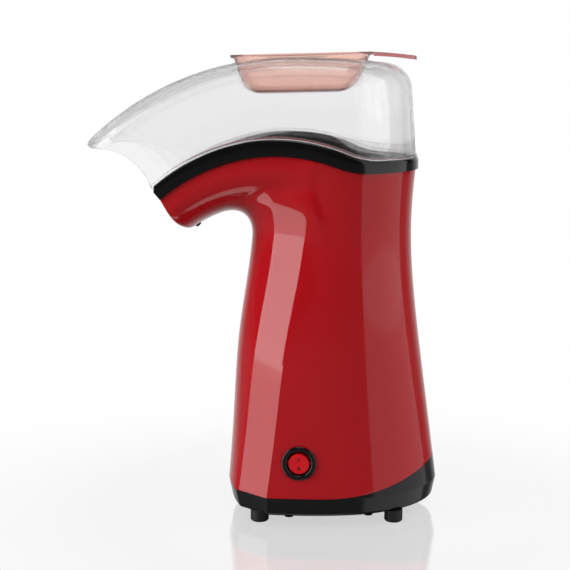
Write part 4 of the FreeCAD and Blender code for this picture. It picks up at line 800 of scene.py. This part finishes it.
def clear_plastic(name, colour, roughness, ior, ripple, straight):
    """Clear moulded plastic with a faint ripple, which lets a share of the light straight through."""
    material = bpy.data.materials.new(name)
    material.use_nodes = True
    nodes_of = material.node_tree.nodes
    links = material.node_tree.links
    shader = nodes_of["Principled BSDF"]
    shader.inputs["Base Color"].default_value = (*colour, 1)
    shader.inputs["Transmission Weight"].default_value = 1.0
    shader.inputs["Roughness"].default_value = roughness
    shader.inputs["IOR"].default_value = ior
    place = nodes_of.new("ShaderNodeTexCoord")
    waves = nodes_of.new("ShaderNodeTexNoise")
    waves.inputs["Scale"].default_value = 25.0
    bump = nodes_of.new("ShaderNodeBump")
    bump.inputs["Strength"].default_value = 0.15
    bump.inputs["Distance"].default_value = ripple / 1000
    links.new(place.outputs["Object"], waves.inputs["Vector"])
    passing = nodes_of.new("ShaderNodeBsdfTransparent")
    passing.inputs["Color"].default_value = (*[math.sqrt(c) for c in colour], 1)
    some = nodes_of.new("ShaderNodeMixShader")
    some.inputs[0].default_value = straight
    links.new(waves.outputs["Fac"], bump.inputs["Height"])
    links.new(bump.outputs["Normal"], shader.inputs["Normal"])
    links.new(shader.outputs[0], some.inputs[1])
    links.new(passing.outputs[0], some.inputs[2])
    links.new(some.outputs[0], nodes_of["Material Output"].inputs["Surface"])
    return material


lid_radius, lid_wall, lid_round = 56.6, 2.4, 16.0
lid_base_z = 245.2
lid_draft = math.tan(math.radians(4.0))
lid_crest = (-25.0, 311.5)
roof_front, roof_back = 200.0, 540.0
lid_tip_x = -166.5
skirt_depth, wall_least, skirt_front_x = 2.3, 3.0, -122.0
visor_reach, visor_half, visor_foot, visor_rise = 8.0, 27.0, 226.0, 22.0
hood_front, hood_back = -175.0, 75.0


def roof_height(x):
    """Height of the roof's middle line: an arc down to the tip and a flatter one to the back."""
    radius = np.where(np.asarray(x) < lid_crest[0], roof_front, roof_back)
    off = np.clip(x - lid_crest[0], -0.99 * roof_front, None)
    return lid_crest[1] - radius + np.sqrt(radius ** 2 - off ** 2)


def roof_slope(x):
    """Steepness of the roof's middle line."""
    return np.abs(roof_height(x + 0.5) - roof_height(x - 0.5))


tip = np.array((lid_tip_x, float(roof_height(lid_tip_x))))
foot = np.array((-117.0, 226.0))
scoop_sag = 6.5
chord = foot - tip
half_chord = np.hypot(*chord) / 2
scoop_radius = (half_chord ** 2 + scoop_sag ** 2) / (2 * scoop_sag)
scoop_square = np.array((-chord[1], chord[0])) / (2 * half_chord)
scoop_centre = (tip + foot) / 2 - scoop_square * (scoop_radius - scoop_sag)


def hood_points(places, steps, outs=None):
    """Points of the hood: steps 0 to 1 up the wall, to 2 round the roof's edge, to 3 in to the middle.

    Places are rows of side (-1 or 1, 0 at the back) and share of the way to the mouth, or angle at the back.
    With outs the steps are heights over the collar, and each point stands out from the wall.
    """
    side = np.array([row[0] for row in places], float)[:, None]
    place = np.array([row[1] for row in places], float)[:, None]
    step = np.asarray(steps, float)[None, :]
    at_back = side == 0
    sink = np.tan(spout_taper)
    front = np.full(np.broadcast(place, step).shape, hood_front)
    behind = np.full(front.shape, hood_back)
    for _ in range(48):
        x = (front + behind) / 2
        foot_z = edge_height(np.maximum(x, skirt_front_x), **collar_wave)
        roof = roof_height(x)
        round_z = np.maximum(roof - lid_round * np.hypot(1, roof_slope(x)), foot_z + wall_least)

        def reach_at(z):
            """Half width of the hood at a height, or its radius at the back."""
            radius = lid_radius - lid_draft * np.maximum(z - lid_base_z, 0)
            return np.where(at_back, radius, (radius + x * math.sin(spout_taper)) / math.cos(spout_taper))

        if outs is None:
            angle = np.clip(step - 1, 0, 1) * math.pi / 2
            inner = reach_at(round_z) - lid_round
            wall_z = foot_z - skirt_depth + step * (round_z - foot_z + skirt_depth)
            z = np.where(step <= 1, wall_z, round_z + (roof - round_z) * np.sin(angle))
            y = np.where(step <= 1, reach_at(z),
                         np.where(step <= 2, inner + lid_round * np.cos(angle), inner * (3 - step)))
        else:
            z = foot_z + step
            y = reach_at(z) + np.asarray(outs)[None, :]
        scoop = scoop_centre[0] + np.sqrt(np.maximum(scoop_radius ** 2 - (z - scoop_centre[1]) ** 2, 0))
        visor = visor_reach * np.clip(y / visor_half, 0, 1) ** 2
        visor = visor * np.clip((z - visor_foot) / visor_rise, 0, 1)
        ahead = np.where(at_back, y * np.cos(place), (1 - place) * -sink * y + place * (scoop + visor))
        front, behind = np.where(x > ahead, front, x), np.where(x > ahead, x, behind)
    across = np.where(at_back, y * np.sin(place), side * y)
    return np.stack([x, across, z], axis=-1)


side_columns, back_columns = 64, 72
half_turn = math.pi / 2 + spout_taper
places = [(-1, i / side_columns) for i in range(side_columns, 0, -1)]
places += [(0, -half_turn + 2 * half_turn * i / back_columns) for i in range(back_columns + 1)]
places += [(1, i / side_columns) for i in range(1, side_columns + 1)]
steps = [i / 20 for i in range(20)] + [1 + i / 14 for i in range(14)] + [2 + i / 14 for i in range(15)]
form = sheet_of(hood_points(places, steps), closed=False)
bmesh.ops.remove_doubles(form, verts=form.verts, dist=0.02)

cup_front, cup_back, cup_half, cup_corner = -66.0, 26.0, 28.0, 11.0
cup_gap = 0.8


def outside_cup(x, y, grow):
    """Distance outside the cup's plan, a rectangle with round corners."""
    mid = (cup_front + cup_back) / 2
    along = np.abs(x - mid) - (cup_back - cup_front) / 2 + cup_corner
    across = np.abs(y) - cup_half + cup_corner
    corner = np.hypot(np.maximum(along, 0), np.maximum(across, 0))
    return np.minimum(np.maximum(along, across), 0) + corner - cup_corner - grow


trim(form, lambda x, y, z: -outside_cup(x, y, cup_gap))
clear_lid = clear_plastic("clear_lid", (0.925, 0.923, 0.93), 0.015, 1.42, 0.01, 0.3)
lid = piece_of("lid_hood", form, clear_lid, lid_wall, 0.3)
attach(lid, "lid")
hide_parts("lid")

bead = ((-0.3, 0.3), (0.7, 0.5), (1.0, 0.95), (1.0, 1.6), (0.7, 2.1), (-0.3, 2.3))
form = sheet_of(hood_points(places, [h for _, h in bead], [out for out, _ in bead]))
close_ends(form)
lid_bead = piece_of("lid_bead", form, clear_lid)
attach(lid_bead, "lid")


# Measuring cup: translucent pink scoop with a rolled rim and a flat handle, moulded in one piece from dyed plastic.
# Its rim rests on the lid's roof, and it leans a little towards the front.

cup_pivot = (lid_crest[0], lid_crest[1] + 0.3)
cup_tilt = math.radians(1.4)
cup_low, cup_top, cup_wall = cup_pivot[1] - 23.5, cup_pivot[1] + 2.2, 1.8
front_slope, back_slope, side_slope = 8.0, 13.0, 6.0
corner_steps, run_steps = 8, 8


def tilted(points):
    """Points turned with the cup's lean."""
    x, y, z = np.asarray(points, float).T
    x, z = x - cup_pivot[0], z - cup_pivot[1]
    return np.column_stack([cup_pivot[0] + x * math.cos(cup_tilt) - z * math.sin(cup_tilt), y,
                            cup_pivot[1] + x * math.sin(cup_tilt) + z * math.cos(cup_tilt)])


def cup_ring(z, inset):
    """Round-cornered ring of the cup at one height."""
    share = 1 - (z - cup_low) / (cup_top - cup_low)
    front = cup_front + inset + front_slope * share
    back = cup_back - inset - back_slope * share
    half = cup_half - inset - side_slope * share
    corner = max(cup_corner - inset, 1.0)
    points = []
    for x, y, start in ((back - corner, half - corner, 0), (front + corner, half - corner, 90),
                        (front + corner, corner - half, 180), (back - corner, corner - half, 270)):
        for i in range(corner_steps + 1):
            angle = math.radians(start + 90 * i / corner_steps)
            points.append((x + corner * math.cos(angle), y + corner * math.sin(angle), z))
    full = []
    for i, point in enumerate(points):
        full.append(point)
        if i % (corner_steps + 1) == corner_steps:
            after = points[(i + 1) % len(points)]
            for k in range(1, run_steps):
                full.append(tuple(a + (b - a) * k / run_steps for a, b in zip(point, after)))
    return full


def cup_side(inset, bottom_round, up):
    """Rings of one face of the cup from its bottom to its rim."""
    rings = []
    low = cup_low + inset
    for reach in (0.55, 0.8):
        rings.append(cup_ring(low, inset + bottom_round + (1 - reach) * 18))
    for angle in np.linspace(0, math.pi / 2, 7):
        rings.append(cup_ring(low + bottom_round * (1 - math.cos(angle)),
                              inset + bottom_round * (1 - math.sin(angle))))
    for z in np.linspace(low + bottom_round, up, 9)[1:]:
        rings.append(cup_ring(z, inset))
    return rings


def add_form(form, extra):
    """Join a second form to the first."""
    spare = bpy.data.meshes.new("spare")
    extra.to_mesh(spare)
    extra.free()
    form.from_mesh(spare)
    bpy.data.meshes.remove(spare)


rim_low = cup_pivot[1]
outer = cup_side(0.0, 8.0, rim_low)
rim = [cup_ring(z, inset) for z, inset in (
    (rim_low, -1.5), (rim_low + 0.3, -1.9), (rim_low + 1.2, -2.0), (cup_top - 0.4, -1.9), (cup_top, -1.4),
    (cup_top, 1.0), (cup_top - 0.3, 1.6))]
inner = cup_side(cup_wall, 6.2, cup_top - 0.8)
cup_rings = [tilted(ring) for ring in outer + rim + inner[::-1]]
form = sheet_of(cup_rings)
close_ends(form)
handle_start, handle_end, handle_half, handle_thick = 27.4, 56.0, 11.0, 2.6
handle_corner, handle_drop, handle_bend_x, handle_curve = 8.0, 3.4, 22.0, 1.6
handle_rings = []
for share in np.linspace(0, 1, 25):
    x = handle_start + (handle_end - handle_start) * (1 - (1 - share) ** handle_curve)
    near_end = max(0.0, x - (handle_end - handle_corner))
    half = handle_half - handle_corner + math.sqrt(max(handle_corner ** 2 - near_end ** 2, 0.25))
    bent = (x - handle_bend_x) / (handle_end - handle_bend_x)
    high = cup_top - 0.1 - handle_drop * bent ** handle_curve
    low = high - handle_thick
    section = [(half - 0.9, low), (half - 0.2, low + 0.5), (half, low + 1.3), (half - 0.2, high - 0.5),
               (half - 0.9, high), (0, high + 0.1)]
    loop = section + [(-y, z) for y, z in section[-2::-1]] + [(0, low)]
    handle_rings.append(tilted([(x, y, z) for y, z in loop]))
handle = sheet_of(handle_rings)
close_ends(handle)
add_form(form, handle)
dye_colour, dye_density = (0.54, 0.0, 0.1, 1), 70.0
pink_clear = clear_plastic("pink_clear", (1.0, 0.84, 0.755), 0.02, 1.33, 0.01, 0.15)
dye = pink_clear.node_tree.nodes.new("ShaderNodeVolumeAbsorption")
dye.inputs["Color"].default_value = dye_colour
dye.inputs["Density"].default_value = dye_density
pink_clear.node_tree.links.new(dye.outputs[0], pink_clear.node_tree.nodes["Material Output"].inputs["Volume"])
cup = piece_of("measuring_scoop", form, pink_clear)
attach(cup, "cup")
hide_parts("measuring_cup")


# Switch: round black moulded rocker switch with a rounded bezel, snapped into a hole in the near side.
# The red rocker turns on a cross pin and carries a plain bar and ring in dark ink.

switch_frame = Matrix.Translation(switch_wall) @ Matrix.Rotation(math.pi / 2 - switch_lean, 4, "X")
form = lathe([(0, -16), (10, -16), (10, -0.6), (11.5, -0.6), (11.5, 0.7), (11.35, 1.15), (11.0, 1.45), (10.6, 1.6),
              (9.2, 1.6), (8.8, 1.5), (8.45, 1.2), (8.2, 0.7), (8.2, -9), (0, -9)])
bmesh.ops.transform(form, matrix=switch_frame, verts=form.verts)
switch_case = piece_of("switch_case", form, black_gloss)
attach(switch_case, "body")
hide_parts("switch_body")

rocker_tilt = math.radians(9.0)
rocker_axis = -2.6
rocker_frame = switch_frame @ Matrix.Translation((0, 0, rocker_axis)) @ Matrix.Rotation(rocker_tilt, 4, "X")
rocker_frame = rocker_frame @ Matrix.Translation((0, 0, -rocker_axis))
form = lathe([(0, -4.2), (6.6, -4.2), (7.0, -3.8), (7.0, 0.5), (6.85, 0.85), (6.5, 1.0), (6.0, 0.98), (4.5, 0.8),
              (2.5, 0.66), (0, 0.6)])
pin = lathe([(0, -9.3), (1.25, -9.3), (1.25, 9.3), (0, 9.3)], 24)
bmesh.ops.transform(pin, matrix=Matrix.Translation((0, 0, rocker_axis)) @ Matrix.Rotation(math.pi / 2, 4, "Y"),
                    verts=pin.verts)
add_form(form, pin)
bmesh.ops.transform(form, matrix=rocker_frame, verts=form.verts)
red_rocker = moulded("red_rocker", (0.8, 0.009, 0.016), 0.16, 1.0, 0.004)
rocker = piece_of("rocker_button", form, red_rocker)
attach(rocker, "rocker")
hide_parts("switch_rocker")

form = bmesh.new()
mark_off, mark_wall = 3.0, 0.2
bar_width, bar_height, bar_middle_z = 0.55, 2.4, 0.77
ring_inner, ring_outer, ring_stretch, ring_low_z = 0.55, 1.0, 1.25, 0.67
bar = bmesh.ops.create_cube(form, size=1.0)["verts"]
bmesh.ops.scale(form, vec=(bar_width, bar_height, mark_wall), verts=bar)
bmesh.ops.translate(form, vec=(0, mark_off, bar_middle_z), verts=bar)
angles = np.linspace(0, 2 * math.pi, 40, endpoint=False)
loop = []
for radius, up in ((ring_inner, 0), (ring_outer, 0), (ring_outer, mark_wall), (ring_inner, mark_wall)):
    loop.append(np.column_stack([radius * np.cos(angles), ring_stretch * radius * np.sin(angles) - mark_off,
                                 np.full(angles.shape, ring_low_z + up)]))
add_form(form, sheet_of(loop + loop[:1]))
bmesh.ops.transform(form, matrix=rocker_frame, verts=form.verts)
dark_ink = moulded("dark_ink", (0.02, 0.002, 0.003), 0.4, 0.6, 0.004)
marks = piece_of("rocker_marks", form, dark_ink)
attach(marks, "rocker")
